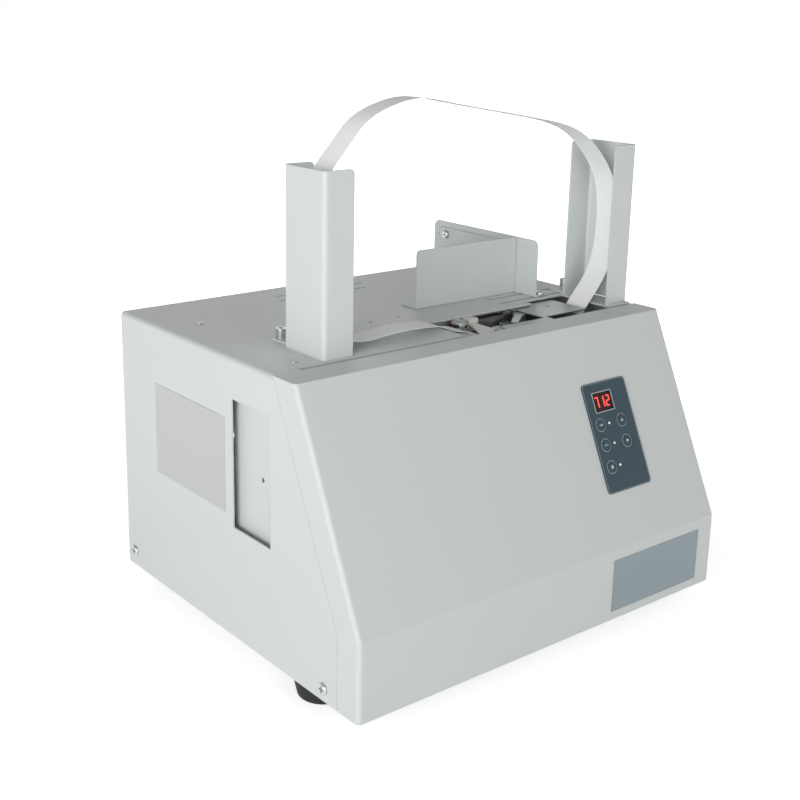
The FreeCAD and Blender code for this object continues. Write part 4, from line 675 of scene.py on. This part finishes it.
class Form:
    """Shapes that several assemblies share, as bmesh solids; outlines are in millimetres."""

    sink: float = 0.05
    round_steps: int = 6
    rear: Vector = Vector((0, 1, 0))
    head_steps: int = 24
    head_height: float = 0.55
    head_profile: tuple[Pair, ...] = ((1.0, 0.35), (0.86, 0.8), (0.6, 1.0), (0.42, 1.0), (0.4, 0.45),
                                      (0.0, 0.4))

    @staticmethod
    def join(shapes: Iterable[Solid]) -> Solid:
        """Puts several shapes into one and frees them.

        Args:
            shapes: The shapes to join.

        Returns:
            The whole.
        """
        whole = bmesh.new()
        for shape in shapes:
            mesh = bpy.data.meshes.new("part_of_whole")
            shape.to_mesh(mesh)
            shape.free()
            whole.from_mesh(mesh)
            bpy.data.meshes.remove(mesh)
        return whole

    @staticmethod
    def circle(radius: float, count: int) -> list[Pair]:
        """Returns evenly spaced points round a circle about zero."""
        turns = [2 * math.pi * step / count for step in range(count)]
        return [(radius * math.cos(turn), radius * math.sin(turn)) for turn in turns]

    @staticmethod
    def ring(inner: float, outer: float, low: float, high: float) -> list[Pair]:
        """Returns the section of a flat ring, as points of radius and height."""
        return [(inner, low), (outer, low), (outer, high), (inner, high)]

    @staticmethod
    def loft(rows: Sequence[Sequence[Vector]], closed: bool) -> Solid:
        """Joins rows of points, each row to the next, with a wall of faces.

        Args:
            rows: The rows, in metres, all of one length; a row of a single point is a tip.
            closed: Whether the last row joins the first; if not, a face closes each end.

        Returns:
            The solid.
        """
        shape = bmesh.new()
        rings = [[shape.verts.new(point) for point in row] for row in rows]
        steps = max(len(ring) for ring in rings)
        for low, high in zip(rings, rings[1:] + rings[:1] if closed else rings[1:]):
            for step in range(steps):
                after = (step + 1) % steps
                corners = dict.fromkeys((low[step % len(low)], low[after % len(low)], high[after % len(high)],
                                         high[step % len(high)]))
                if len(corners) > 2:
                    shape.faces.new(list(corners))
        for ring in (rings[0], rings[-1]):
            if len(ring) > 2 and not closed:
                shape.faces.new(ring)
        return shape

    @staticmethod
    def turned(outline: Sequence[Pair], centre: Vector, axis: Vector, steps: int,
               closed: bool = False) -> Solid:
        """Turns an outline about an axis.

        Args:
            outline: Points of radius and height; zero radius closes an end.
            centre: The place of height zero on the axis, in metres.
            axis: The direction of the height.
            steps: How many steps make the full turn.
            closed: Whether the outline's last point joins its first, as a ring's does.

        Returns:
            The solid.
        """
        turn_to = Vector((0, 0, 1)).rotation_difference(axis.normalized()).to_matrix()
        rows = []
        for radius, height in outline:
            places = Form.circle(radius, steps) if radius > 0 else [(0, 0)]
            rows.append([centre + turn_to @ (Vector((x, y, height)) * MM) for x, y in places])
        return Form.loft(rows, closed)

    @staticmethod
    def plate(outline: Sequence[Pair], low: float, high: float, place: Callable[[Vector], Vector]) -> Solid:
        """Raises a flat outline to a plate between two heights, in the frame that a function places it in."""
        rows = [[place(Vector((x, y, height))) for x, y in outline] for height in (low, high)]
        return Form.loft(rows, False)

    @staticmethod
    def band(outline: Sequence[Pair], width: float, low: float, high: float,
             place: Callable[[Vector], Vector]) -> Solid:
        """Raises a closed line to a thin frame of a given width, such as a printed border.

        Args:
            outline: The line's points, counter-clockwise.
            width: The frame's width, in millimetres, inwards from the line.
            low: The height of the frame's underside, in millimetres.
            high: The height of its upper side, in millimetres.
            place: Turns a point in millimetres into one in the machine's frame, in metres.

        Returns:
            The solid.
        """
        least_lean = 0.3
        points = [Vector((*point, 0)) for point in outline]
        inner = []
        for number, here in enumerate(points):
            before = (here - points[number - 1]).normalized()
            after = (points[(number + 1) % len(points)] - here).normalized()
            normal = Vector((-before.y - after.y, before.x + after.x, 0)).normalized()
            lean = max(least_lean, normal.dot(Vector((-after.y, after.x, 0))))
            inner.append(here + normal * (width / lean))
        edges = ((outline, low), (outline, high), (inner, high), (inner, low))
        return Form.loft([[place(Vector((point[0], point[1], height))) for point in line]
                          for line, height in edges], True)

    @staticmethod
    def rounded(x0: float, x1: float, y0: float, y1: float, radius: float) -> list[Pair]:
        """Returns the outline of a rectangle with round corners, counter-clockwise.

        Args:
            x0: The left side.
            x1: The right side.
            y0: The lower side.
            y1: The upper side.
            radius: The corners' radius.

        Returns:
            The outline's points.
        """
        points = []
        for x, y, start in ((x1 - radius, y0 + radius, -90), (x1 - radius, y1 - radius, 0),
                            (x0 + radius, y1 - radius, 90), (x0 + radius, y0 + radius, 180)):
            for step in range(Form.round_steps + 1):
                turn = math.radians(start + 90 * step / Form.round_steps)
                points.append((x + radius * math.cos(turn), y + radius * math.sin(turn)))
        return points

    @staticmethod
    def block(low: Triple, high: Triple, edge: float) -> Solid:
        """Makes a block with eased edges between two corners.

        Args:
            low: The corner with the lowest coordinates, in millimetres.
            high: The corner with the highest, in millimetres.
            edge: The bevels' width, in millimetres.

        Returns:
            The solid.
        """
        shape = bmesh.new()
        bmesh.ops.create_cube(shape, size=1.0)
        for corner in shape.verts:
            corner.co = Vector([low[i] + (high[i] - low[i]) * (corner.co[i] + 0.5) for i in range(3)])
        bmesh.ops.bevel(shape, geom=list(shape.edges), offset=edge, segments=2, affect="EDGES")
        for corner in shape.verts:
            corner.co = corner.co * MM
        return shape

    @staticmethod
    def corners(x: float, z: float, pitch: float) -> list[Pair]:
        """Returns the four places at a distance from a middle, both ways."""
        return [(x + side_x * pitch, z + side_z * pitch) for side_x in (-1, 1) for side_z in (-1, 1)]

    @staticmethod
    def screw_heads(places: Iterable[Pair], face: float, radius: float) -> list[Solid]:
        """Makes the button heads of socket screws that stand on a face and look to the rear.

        Args:
            places: Each head's place across and up, in millimetres.
            face: The face's place from front to rear, in millimetres.
            radius: The heads' radius, in millimetres.

        Returns:
            The heads.
        """
        high = radius * Form.head_height
        outline = [(0, -Form.sink), (radius, -Form.sink)]
        outline += [(radius * out, high * up) for out, up in Form.head_profile]
        return [Form.turned(outline, Vector((x, face, z)) * MM, Form.rear, Form.head_steps)
                for x, z in places]


class TreeKit:
    """Builds Geometry Nodes trees and turns what they make into plain pieces."""

    wire_sides: int = 10

    def __init__(self, shop: Workshop) -> None:
        """Keeps the workshop, and builds every tree.

        Args:
            shop: Where the made pieces go.
        """
        self.shop = shop
        self.along = self.build_along()
        self.scatter = self.build_scatter()
        self.wire = self.build_wire()

    @staticmethod
    def begin(name: str, *inputs: tuple) -> NodeBuilder:
        """Starts a tree with a Geometry and a Material input, the given inputs and a Geometry output."""
        return NodeBuilder.group(name, [("Geometry", GEOMETRY), ("Material", MATERIAL), *inputs],
                                 [("Geometry", GEOMETRY)], "GeometryNodeTree")

    @staticmethod
    def end(make: NodeBuilder, geometry: Socket) -> bpy.types.NodeTree:
        """Ends a tree: realizes its instances, sets the material and links the output.

        Args:
            make: The tree's builder.
            geometry: What the tree has made.

        Returns:
            The finished tree.
        """
        real = make.add("GeometryNodeRealizeInstances", {"Geometry": geometry}).outputs[0]
        painted = make.add("GeometryNodeSetMaterial", {"Geometry": real, "Material": make.given("Material")})
        return make.close(Geometry=painted.outputs[0])

    def build_along(self) -> bpy.types.NodeTree:
        """Builds the tree that repeats a small block along a path.

        Returns:
            The finished tree.
        """
        make = self.begin("BlocksAlongPath", ("Count", INTEGER, 20), ("Block Size", VECTOR, (MM, MM, MM)),
                          ("Outward", FLOAT, 0.0))
        curve = make.add("GeometryNodeMeshToCurve", {"Mesh": make.given("Geometry")}).outputs[0]
        even = make.add("GeometryNodeResampleCurve", {"Curve": curve, "Count": make.given("Count")})
        tangent = make.add("GeometryNodeInputTangent").outputs[0]
        turned = make.add("FunctionNodeAlignRotationToVector", {"Vector": tangent}, axis="X",
                          pivot_axis="AUTO")
        block = make.add("GeometryNodeMeshCube", {"Size": make.given("Block Size")})
        across = make.vector_maths("CROSS_PRODUCT", {0: tangent, 1: (0.0, 1.0, 0.0)})
        shift = make.vector_maths("SCALE", {0: across, "Scale": make.given("Outward")})
        moved = make.add("GeometryNodeSetPosition", {"Geometry": even.outputs[0], "Offset": shift}).outputs[0]
        blocks = make.add("GeometryNodeInstanceOnPoints", {"Points": moved, "Instance": block.outputs["Mesh"],
                                                           "Rotation": turned.outputs[0]})
        return self.end(make, blocks.outputs[0])

    def build_scatter(self) -> bpy.types.NodeTree:
        """Builds the tree that scatters small parts of random sizes over faces.

        Returns:
            The finished tree.
        """
        make = self.begin("PartsOnFaces", ("Spacing", FLOAT, 0.004), ("Density", FLOAT, 20000.0),
                          ("Seed", INTEGER, 7), ("Small", VECTOR, (0.001, 0.001, 0.0006)),
                          ("Large", VECTOR, (0.003, 0.002, 0.001)))
        seed = make.given("Seed")
        points = make.add("GeometryNodeDistributePointsOnFaces", {
            "Mesh": make.given("Geometry"), "Distance Min": make.given("Spacing"),
            "Density Max": make.given("Density"), "Seed": seed}, distribute_method="POISSON").outputs
        size = make.add("FunctionNodeRandomValue", {0: make.given("Small"), 1: make.given("Large"),
                                                    "Seed": seed}, data_type="FLOAT_VECTOR").outputs[0]
        block = make.add("GeometryNodeMeshCube", {"Size": (1.0, 1.0, 1.0)}).outputs["Mesh"]
        parts = make.add("GeometryNodeInstanceOnPoints", {"Points": points["Points"], "Instance": block,
                                                          "Rotation": points["Rotation"], "Scale": size})
        return self.end(make, parts.outputs[0])

    def build_wire(self) -> bpy.types.NodeTree:
        """Builds the tree that draws a smooth round wire through a path's points.

        Returns:
            The finished tree.
        """
        make = self.begin("WireOnPath", ("Radius", FLOAT, MM), ("Samples", INTEGER, 60))
        curve = make.add("GeometryNodeMeshToCurve", {"Mesh": make.given("Geometry")}).outputs[0]
        soft = make.add("GeometryNodeCurveSplineType", {"Curve": curve}, spline_type="CATMULL_ROM").outputs[0]
        even = make.add("GeometryNodeResampleCurve", {"Curve": soft, "Count": make.given("Samples")})
        section = make.add("GeometryNodeCurvePrimitiveCircle", {"Resolution": self.wire_sides,
                                                                "Radius": make.given("Radius")}).outputs[0]
        wire = make.add("GeometryNodeCurveToMesh", {"Curve": even.outputs[0], "Profile Curve": section,
                                                    "Fill Caps": True}).outputs[0]
        return self.end(make, make.add("GeometryNodeSetShadeSmooth", {"Geometry": wire}).outputs[0])

    def grow(self, name: str, base: bpy.types.Mesh, tree: bpy.types.NodeTree, finish: str,
             **inputs: object) -> None:
        """Runs a tree over a base mesh and keeps the result as a plain piece of the machine's body.

        Args:
            name: The piece's name.
            base: The path or the faces that the tree reads, in the machine's frame.
            tree: The tree.
            finish: The finish's name.
            inputs: The tree's inputs, each by its name with spaces as underscores.
        """
        source = bpy.data.objects.new(name + "_source", base)
        bpy.context.scene.collection.objects.link(source)
        modifier = source.modifiers.new("grow", "NODES")
        modifier.node_group = tree
        values = {label.replace("_", " "): value for label, value in inputs.items()}
        values["Material"] = self.shop.finishes.get(finish)
        for item in tree.interface.items_tree:
            if item.in_out == "INPUT" and item.name in values:
                modifier[item.identifier] = values[item.name]
        bpy.context.view_layer.update()
        mesh = bpy.data.meshes.new_from_object(source.evaluated_get(bpy.context.evaluated_depsgraph_get()))
        source.modifiers.remove(modifier)
        bpy.data.objects.remove(source)
        mesh.name = name
        self.shop.add(name, mesh, "machine")

    @staticmethod
    def path(points: Sequence[Triple], closed: bool) -> bpy.types.Mesh:
        """Makes a mesh of edges through points.

        Args:
            points: The points, in millimetres.
            closed: Whether the last point joins the first.

        Returns:
            The mesh.
        """
        mesh = bpy.data.meshes.new("path")
        count = len(points)
        edges = [(step, (step + 1) % count) for step in range(count if closed else count - 1)]
        mesh.from_pydata([tuple(Vector(point) * MM) for point in points], edges, [])
        return mesh

    @staticmethod
    def patch(corners: Sequence[Vector]) -> bpy.types.Mesh:
        """Makes a mesh of one face.

        Args:
            corners: The face's corners, in metres, counter-clockwise from its outer side.

        Returns:
            The mesh.
        """
        mesh = bpy.data.meshes.new("patch")
        mesh.from_pydata([tuple(corner) for corner in corners], [], [tuple(range(len(corners)))])
        return mesh


@dataclass
class Assembly:
    """One group of pieces round the CAD part, with the workshop and the trees that make them."""

    shop: Workshop
    trees: TreeKit

    def dress(self) -> None:
        """Gives the group's CAD nodes their second finishes; a group without any has nothing to do."""

    def build(self) -> None:
        """Builds the group's pieces; each group has its own."""


@dataclass(frozen=True)
class SlopeFrame:
    """The sloping front's own frame: x across, y up the slope from the knee, z outwards, in millimetres."""

    knee: Pair = (-183.75, 85.0)
    setback: float = 83.0
    rise: float = 181.0

    def lean(self) -> Pair:
        """Returns how far the slope goes back and up for each millimetre along it."""
        length = math.hypot(self.setback, self.rise)
        return self.setback / length, self.rise / length

    def place(self, point: Vector) -> Vector:
        """Turns a point of the slope's frame into one of the machine's.

        Args:
            point: A point of the slope's frame, in millimetres.

        Returns:
            The same point in the machine's frame, in metres.
        """
        along, up = self.lean()
        y = self.knee[0] + point.y * along - point.z * up
        z = self.knee[1] + point.y * up + point.z * along
        return Vector((point.x, y, z)) * MM

    def outward(self) -> Vector:
        """Returns the direction in which the slope faces."""
        along, up = self.lean()
        return Vector((0, -up, along))

    def depth_of(self, point: Vector) -> float:
        """Returns how far a point in metres lies outside the slope's face, in millimetres."""
        return (point - self.place(Vector((0, 0, 0)))).dot(self.outward()) / MM


@dataclass(frozen=True)
class Key:
    """One of the panel's keys: its node, its middle on the slope and its plain symbol about the middle."""

    node: str
    middle: Pair
    symbol: tuple[tuple[Pair, ...], ...]


@dataclass
class ControlPanel(Assembly):
    """The panel's overlay: display frame, ringed keys with plain symbols, and small lights."""

    slope: SlopeFrame = SlopeFrame()
    sink: float = 0.02
    thickness: float = 1.2
    panel: Quad = (82.0, 138.0, 47.0, 146.0)
    border_inset: float = 0.6
    border_corner: float = 3.0
    border_width: float = 0.35
    border_rise: float = 0.03
    display: Quad = (92.6, 116.0, 119.5, 136.5)
    frame_width: float = 0.9
    frame_corner: float = 0.6
    frame_rise: float = 0.25
    key_top: float = 1.9
    ring: Pair = (5.5, 6.05)
    ring_rise: float = 0.05
    ring_steps: int = 48
    mark_rise: float = 0.04
    light_x: float = 104.6
    light_bezel: Pair = (1.12, 1.6)
    bezel_rise: Pair = (0.1, 0.14)
    bezel_steps: int = 28
    light_gap: float = 3.0
    switch_depth: float = -11.9
    pillar_width: float = 1.0
    keys: tuple[Key, ...] = (
        Key("feed_key", (93.7, 108.0), (((-2.2, -0.35), (0.3, -0.35), (0.3, -1.3), (2.2, 0.0), (0.3, 1.3),
                                         (0.3, 0.35), (-2.2, 0.35)),)),
        Key("length_key", (93.7, 89.7), (((-2.3, 0.0), (-1.1, -1.1), (-1.1, 1.1)),
                                         ((2.3, 0.0), (1.1, 1.1), (1.1, -1.1)),
                                         ((-0.9, -0.25), (0.9, -0.25), (0.9, 0.25), (-0.9, 0.25)))),
        Key("reset_key", (93.7, 69.8), (((-1.4, -1.4), (1.4, -1.4), (1.4, 1.4), (-1.4, 1.4)),)),
        Key("up_key", (121.0, 107.8), (((-1.7, -1.1), (1.7, -1.1), (0.0, 1.7)),)),
        Key("down_key", (121.0, 88.6), (((-1.7, 1.1), (0.0, -1.7), (1.7, 1.1)),)),
    )

    def build(self) -> None:
        """Builds every printed and moulded detail of the panel."""
        x0, x1, y0, y1 = self.display
        wide = self.frame_width
        frame = Form.rounded(x0 - wide, x1 + wide, y0 - wide, y1 + wide, self.frame_corner)
        self.print_line("display_frame", frame, wide, self.frame_rise)
        for key in self.keys:
            self.print_ring(key.node + "_ring", key.middle, (*self.ring, self.ring_rise, self.ring_rise),
                            self.ring_steps, "key_ring")
            self.build_mark(key)
        for number, key in enumerate(self.keys[:3]):
            self.print_ring(f"light_bezel_{number}", (self.light_x, key.middle[1]),
                            (*self.light_bezel, *self.bezel_rise), self.bezel_steps, "panel_overlay")
        x0, x1, y0, y1 = self.panel
        inset = self.border_inset
        border = Form.rounded(x0 + inset, x1 - inset, y0 + inset, y1 - inset, self.border_corner)
        self.print_line("overlay_border", border, self.border_width, self.border_rise)

    def print_line(self, name: str, outline: Sequence[Pair], width: float, rise: float) -> None:
        """Prints a closed line on the overlay.

        Args:
            name: The piece's name.
            outline: The line's outer side.
            width: The line's width.
            rise: How far it stands above the overlay.
        """
        low = self.thickness
        line = Form.band(outline, width, low - self.sink, low + rise, self.slope.place)
        self.shop.piece(name, line, "machine", "display_frame")

    def print_ring(self, name: str, middle: Pair, section: Quad, steps: int, finish: str) -> None:
        """Prints a round ring on the overlay.

        Args:
            name: The piece's name.
            middle: The ring's middle on the slope.
            section: Its inner and outer radius, and how far its outer and its inner side stand up.
            steps: How many steps make the full turn.
            finish: The finish's name.
        """
        inner, outer, outer_rise, inner_rise = section
        low = self.thickness
        ring = [(inner, low - self.sink), (outer, low - self.sink), (outer, low + outer_rise),
                (inner, low + inner_rise)]
        centre = self.slope.place(Vector((*middle, 0)))
        solid = Form.turned(ring, centre, self.slope.outward(), steps, closed=True)
        self.shop.piece(name, solid, "machine", finish)

    def build_mark(self, key: Key) -> None:
        """Builds the plain symbol on a key's cap, which moves with the key.

        Args:
            key: The key.
        """
        x, y = key.middle
        shapes = [Form.plate([(x + dx, y + dy) for dx, dy in outline], self.key_top - self.sink,
                             self.key_top + self.mark_rise, self.slope.place) for outline in key.symbol]
        self.shop.piece(key.node + "_mark", Form.join(shapes), key.node, "key_mark", smooth=False)

    def dress(self) -> None:
        """Gives the status lights, the board's switches and its pillars their own looks."""
        limit = self.slope.place(Vector((0, self.display[2] - self.light_gap, 0))).z
        self.shop.paint_faces("display_lights", "status_light", lambda middle: middle.z < limit)
        left, right = self.panel[0] + self.pillar_width, self.panel[1] - self.pillar_width
        for finish, inside in (("resin", True), ("tin", False)):
            self.shop.paint_faces("control_board", finish,
                                  lambda middle: self.slope.depth_of(middle) > self.switch_depth
                                  and (left < middle.x / MM < right) == inside)


@dataclass
class TableHardware(Assembly):
    """The knurled cap screws of the posts and the parts that show in the head slot."""

    screws: tuple[Pair, ...] = ((-145.8, 11.25), (199.5, 11.25))
    screw_radius: float = 4.6
    screw_span: Pair = (268.6, 275.6)
    ribs: int = 44
    rib: Pair = (0.32, 0.3)
    roller: Triple = (27.0, -31.75, 261.0)
    socket: Pair = (1.7, 2.5)
    socket_rise: float = 0.03
    socket_sides: int = 6
    rim_gap: float = 0.1
    rim_slope: float = 0.25
    rim_rise: Triple = (0.12, 0.2, 0.1)
    rim_steps: int = 40
    shoe: Quad = (23.5, 49.2, -62.75, -54.25)
    rail_low: float = 261.0

    def build(self) -> None:
        """Builds the knurling and the roller's end, where a flat dark hexagon is painted shade standing in
        for its socket's hollow.
        """
        low, high = self.screw_span
        size = Vector((*self.rib, high - low)) * MM
        round_head = Form.circle(self.screw_radius, self.ribs)
        for number, (x, y) in enumerate(self.screws):
            ring = [(x + dx, y + dy, (low + high) / 2) for dx, dy in round_head]
            self.trees.grow(f"screw_knurl_{number}", self.trees.path(ring, True), self.trees.along,
                            "steel_plated", Count=self.ribs, Block_Size=size, Outward=0.0)
        inner, outer = self.socket
        centre, away = Vector(self.roller) * MM, -Form.rear
        # The socket's hollow is not cut: a flat dark hexagon in the resin finish on the roller's end is
        # painted shade in its place.
        socket_shade = Form.ring(0, inner, -Form.sink, self.socket_rise)
        self.shop.piece("roller_socket_shade", Form.turned(socket_shade, centre, away, self.socket_sides),
                        "guide_roller", "resin", smooth=False)
        start = inner + self.rim_gap
        outer_rise, top, inner_rise = self.rim_rise
        rim = [(start, -Form.sink), (outer, -Form.sink), (outer, outer_rise), (inner + self.rim_slope, top),
               (start, inner_rise)]
        self.shop.piece("roller_rim", Form.turned(rim, centre, away, self.rim_steps, closed=True),
                        "guide_roller", "steel_plated")

    def dress(self) -> None:
        """Gives the tape's shoe in the slot its white plastic look."""
        x0, x1, y0, y1 = self.shoe
        self.shop.paint_faces("slot_guides", "presser_plastic", lambda middle: x0 < middle.x / MM < x1
                              and middle.y / MM > y0
                              and not (middle.z / MM > self.rail_low and middle.y / MM < y1))


@dataclass
class DriveDetails(Assembly):
    """The belt's ribs, the motor's ribs and screws, and the reel's raised rings."""

    big: Triple = (70.0, 170.0, 31.8)
    small: Triple = (118.0, 170.0, 13.8)
    belt_y: float = -80.75
    belt_steps: int = 24
    belt_ribs: int = 96
    belt_rib: Triple = (1.3, 8.8, 0.5)
    belt_sink: float = 0.1
    motor_y: float = 63.75
    motor_radius: float = 31.0
    motor_ribs: int = 26
    motor_rib: Triple = (1.4, 66.0, 1.4)
    gearbox_pitch: float = 23.5
    gearbox_face: float = 21.25
    gearbox_screw: float = 2.6
    reel: Triple = (-109.25, -48.55, 115.0)
    reel_rings: Triple = (32.0, 56.0, 73.5)
    reel_section: tuple[Pair, ...] = ((0.0, -0.1), (1.6, -0.1), (1.4, 0.5), (0.2, 0.5))
    reel_steps: int = 72

    def build(self) -> None:
        """Builds every detail of the drive."""
        self.trees.grow("belt_ribs", self.trees.path(self.belt_loop(), True), self.trees.along,
                        "belt_rubber", Count=self.belt_ribs, Block_Size=Vector(self.belt_rib) * MM,
                        Outward=-self.belt_sink * MM)
        x, z, _ = self.small
        ring = [(x + dx, self.motor_y, z + dz) for dx, dz in Form.circle(self.motor_radius, self.motor_ribs)]
        self.trees.grow("motor_ribs", self.trees.path(ring, True), self.trees.along, "steel_dark",
                        Count=self.motor_ribs, Block_Size=Vector(self.motor_rib) * MM, Outward=0.0)
        rings = [Form.turned([(radius + out, up) for out, up in self.reel_section], Vector(self.reel) * MM,
                             -Form.rear, self.reel_steps, closed=True) for radius in self.reel_rings]
        self.shop.piece("reel_rings", Form.join(rings), "reel", "grey_plastic")
        places = Form.corners(x, z, self.gearbox_pitch)
        heads = Form.screw_heads(places, self.gearbox_face, self.gearbox_screw)
        self.shop.piece("gearbox_screws", Form.join(heads), "machine", "steel_plated")

    def belt_loop(self) -> list[Triple]:
        """Lays a line along the belt's outer side, once round both pulleys.

        Returns:
            The points, in millimetres.
        """
        lean = math.asin((self.big[2] - self.small[2]) / (self.small[0] - self.big[0]))
        points = []
        arcs = ((self.big, lean, -math.pi - lean), (self.small, math.pi - lean, lean))
        for (x, z, radius), first, last in arcs:
            for step in range(self.belt_steps + 1):
                turn = first + (last - first) * step / self.belt_steps
                points.append((x + radius * math.sin(turn), self.belt_y, z + radius * math.cos(turn)))
        return points


@dataclass
class RearFittings(Assembly):
    """The screws of the rear panel and of the fan, and the blank disc on the fan's hub."""

    face: float = 178.25
    panel_screws: tuple[Pair, ...] = ((-198.0, 252.0), (0.0, 252.0), (198.0, 252.0),
                                      (-198.0, 32.0), (0.0, 32.0), (198.0, 32.0))
    panel_screw: float = 3.4
    fan: Pair = (-95.0, 150.0)
    fan_pitch: float = 35.75
    fan_screw: float = 2.8
    fan_hub: Pair = (8.0, 15.0)
    fan_hub_face: float = 175.25
    disc_rise: float = 0.1
    disc_steps: int = 48

    def build(self) -> None:
        """Builds every screw, and the disc."""
        x, z = self.fan
        heads = Form.screw_heads(self.panel_screws, self.face, self.panel_screw)
        heads += Form.screw_heads(Form.corners(x, z, self.fan_pitch), self.face, self.fan_screw)
        self.shop.piece("rear_screws", Form.join(heads), "machine", "steel_plated")
        disc = Form.turned(Form.ring(*self.fan_hub, -Form.sink, self.disc_rise),
                           Vector((x, self.fan_hub_face, z)) * MM, Form.rear, self.disc_steps, closed=True)
        self.shop.piece("fan_disc", disc, "fan", "side_film")


@dataclass(frozen=True)
class Parts:
    """Small parts scattered over one face: their finish, fixed seed, largest size and least distance."""

    name: str
    finish: str
    seed: int
    large: Triple = (4.6, 3.0, 1.6)
    spacing: float = 6.0


@dataclass
class Electrics(Assembly):
    """The boards' small parts, the supply's inside, the copper winding and the wires."""

    slope: SlopeFrame = SlopeFrame()
    board_back: float = -13.6
    board: Quad = (82.0, 138.0, 48.0, 145.0)
    board_parts: Parts = Parts("board_parts", "resin", 11)
    driver: Quad = (-75.0, -5.0, 74.0, 128.0)
    driver_top: float = 29.6
    driver_parts: Parts = Parts("driver_parts", "resin", 23)
    supply: Quad = (24.0, 146.0, 36.0, 142.0)
    supply_span: Pair = (26.0, 27.6)
    supply_edge: float = 0.15
    supply_parts: Parts = Parts("supply_parts", "copper", 5, (12.0, 11.0, 16.0), 14.0)
    smallest: Triple = (1.2, 1.0, 0.8)
    density: float = 40000.0
    chip_level: float = 30.2
    winding: Triple = (-113.0, 51.0, 91.5)
    wires: tuple[tuple[str, str, Route], ...] = (
        ("inlet_live", "wire_red", ((144, 154.4, 60), (142, 149, 52), (122, 146, 48), (104, 149, 52),
                                    (102, 154.4, 58))),
        ("inlet_neutral", "wire_blue", ((156, 154.4, 60), (158, 149, 50), (160, 138, 44), (156, 124, 42),
                                        (149.9, 118, 42))),
        ("fuse_live", "wire_red", ((98, 154.4, 62), (92, 147, 56), (76, 147, 56), (66, 154.2, 61))),
        ("supply_feed", "wire_black", ((20.1, 96, 44), (12, 97, 46), (4, 100, 42), (-6, 103, 34),
                                       (-12, 104, 29.5))),
        ("motor_feed", "wire_red", ((112, 112.0, 176), (108, 124, 170), (76, 132, 120), (20, 138, 74),
                                    (-20, 134, 44), (-30, 128, 29.5))),
        ("motor_return", "wire_black", ((124, 112.0, 176), (118, 126, 168), (82, 135, 116), (24, 141, 70),
                                        (-16, 137, 42), (-26, 131, 29.5))),
        ("fan_feed", "wire_black", ((-70, 154.0, 112), (-66, 146, 96), (-54, 136, 60), (-48, 126, 38),
                                    (-46, 120, 29.5))),
        ("panel_feed", "wire_blue", ((110, -122.0, 168), (104, -106, 160), (80, -92, 90), (20, -80, 40),
                                     (-30, -30, 30), (-40, 40, 32), (-40, 76, 29.5))),
    )
    wire_radius: float = 1.1
    wire_samples: int = 70

    def build(self) -> None:
        """Builds the scattered parts and every wire."""
        x0, x1, y0, y1 = self.board
        self.scatter(self.board_parts, [self.slope.place(Vector((x, y, self.board_back)))
                                        for x, y in ((x0, y0), (x0, y1), (x1, y1), (x1, y0))])
        self.scatter(self.driver_parts, self.face(self.driver, self.driver_top))
        x0, x1, y0, y1 = self.supply
        low, high = self.supply_span
        board = Form.block((x0, y0, low), (x1, y1, high), self.supply_edge)
        self.shop.piece("supply_board", board, "machine", "circuit_board")
        self.scatter(self.supply_parts, self.face(self.supply, high))
        for name, finish, route in self.wires:
            self.trees.grow("wire_" + name, self.trees.path(route, False), self.trees.wire, finish,
                            Radius=self.wire_radius * MM, Samples=self.wire_samples)

    @staticmethod
    def face(sides: Quad, height: float) -> list[Vector]:
        """Returns the corners, in metres, of a level rectangle that looks up."""
        x0, x1, y0, y1 = sides
        return [Vector((x, y, height)) * MM for x, y in ((x0, y0), (x1, y0), (x1, y1), (x0, y1))]

    def scatter(self, parts: Parts, corners: Sequence[Vector]) -> None:
        """Scatters small parts over one face.

        Args:
            parts: What the parts are.
            corners: The face's corners, in metres, counter-clockwise from its outer side.
        """
        self.trees.grow(parts.name, self.trees.patch(corners), self.trees.scatter, parts.finish,
                        Spacing=parts.spacing * MM, Density=self.density, Seed=parts.seed,
                        Small=Vector(self.smallest) * MM, Large=Vector(parts.large) * MM)

    def dress(self) -> None:
        """Paints the driver board's large parts and the transformer's winding."""
        self.shop.paint_faces("driver_board", "resin", lambda middle: middle.z / MM > self.chip_level)
        right, front, back = self.winding
        self.shop.paint_faces("transformer", "copper", lambda middle: middle.x / MM < right
                              and not front < middle.y / MM < back)


class Machine:
    """The whole machine: every node's finish, and the assemblies that are built around the CAD part."""

    kinds: tuple[type[Assembly], ...] = (ControlPanel, TableHardware, DriveDetails, RearFittings,
                                         Electrics)

    def __init__(self, shop: Workshop, trees: TreeKit) -> None:
        """Sets up every assembly.

        Args:
            shop: Where the pieces are made.
            trees: The Geometry Nodes trees.
        """
        self.shop = shop
        self.assemblies = [kind(shop, trees) for kind in self.kinds]

    def build(self) -> None:
        """Gives every node of the CAD part its finish, and then builds every assembly in order."""
        slots = {row["node"]: row["material_slot"] for row in self.shop.record["subparts"]}
        for node in self.shop.nodes:
            self.shop.dress(node, NODE_FINISH.get(node, slots[node]))
        for assembly in self.assemblies:
            assembly.dress()
        log.info("finishes: %d on %d nodes", len(self.shop.finishes.made), len(self.shop.nodes))
        for assembly in self.assemblies:
            log.info("%s", type(assembly).__name__)
            assembly.build()


def main() -> None:
    """Builds the machine, the studio and the camera in order."""
    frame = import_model()
    shop = Workshop(frame, Finishes(Effects()))
    Machine(shop, TreeKit(shop)).build()
    Studio().build()
    View().build()
    log.info("pieces: %d", shop.count)


if __name__ == "__main__":
    main()
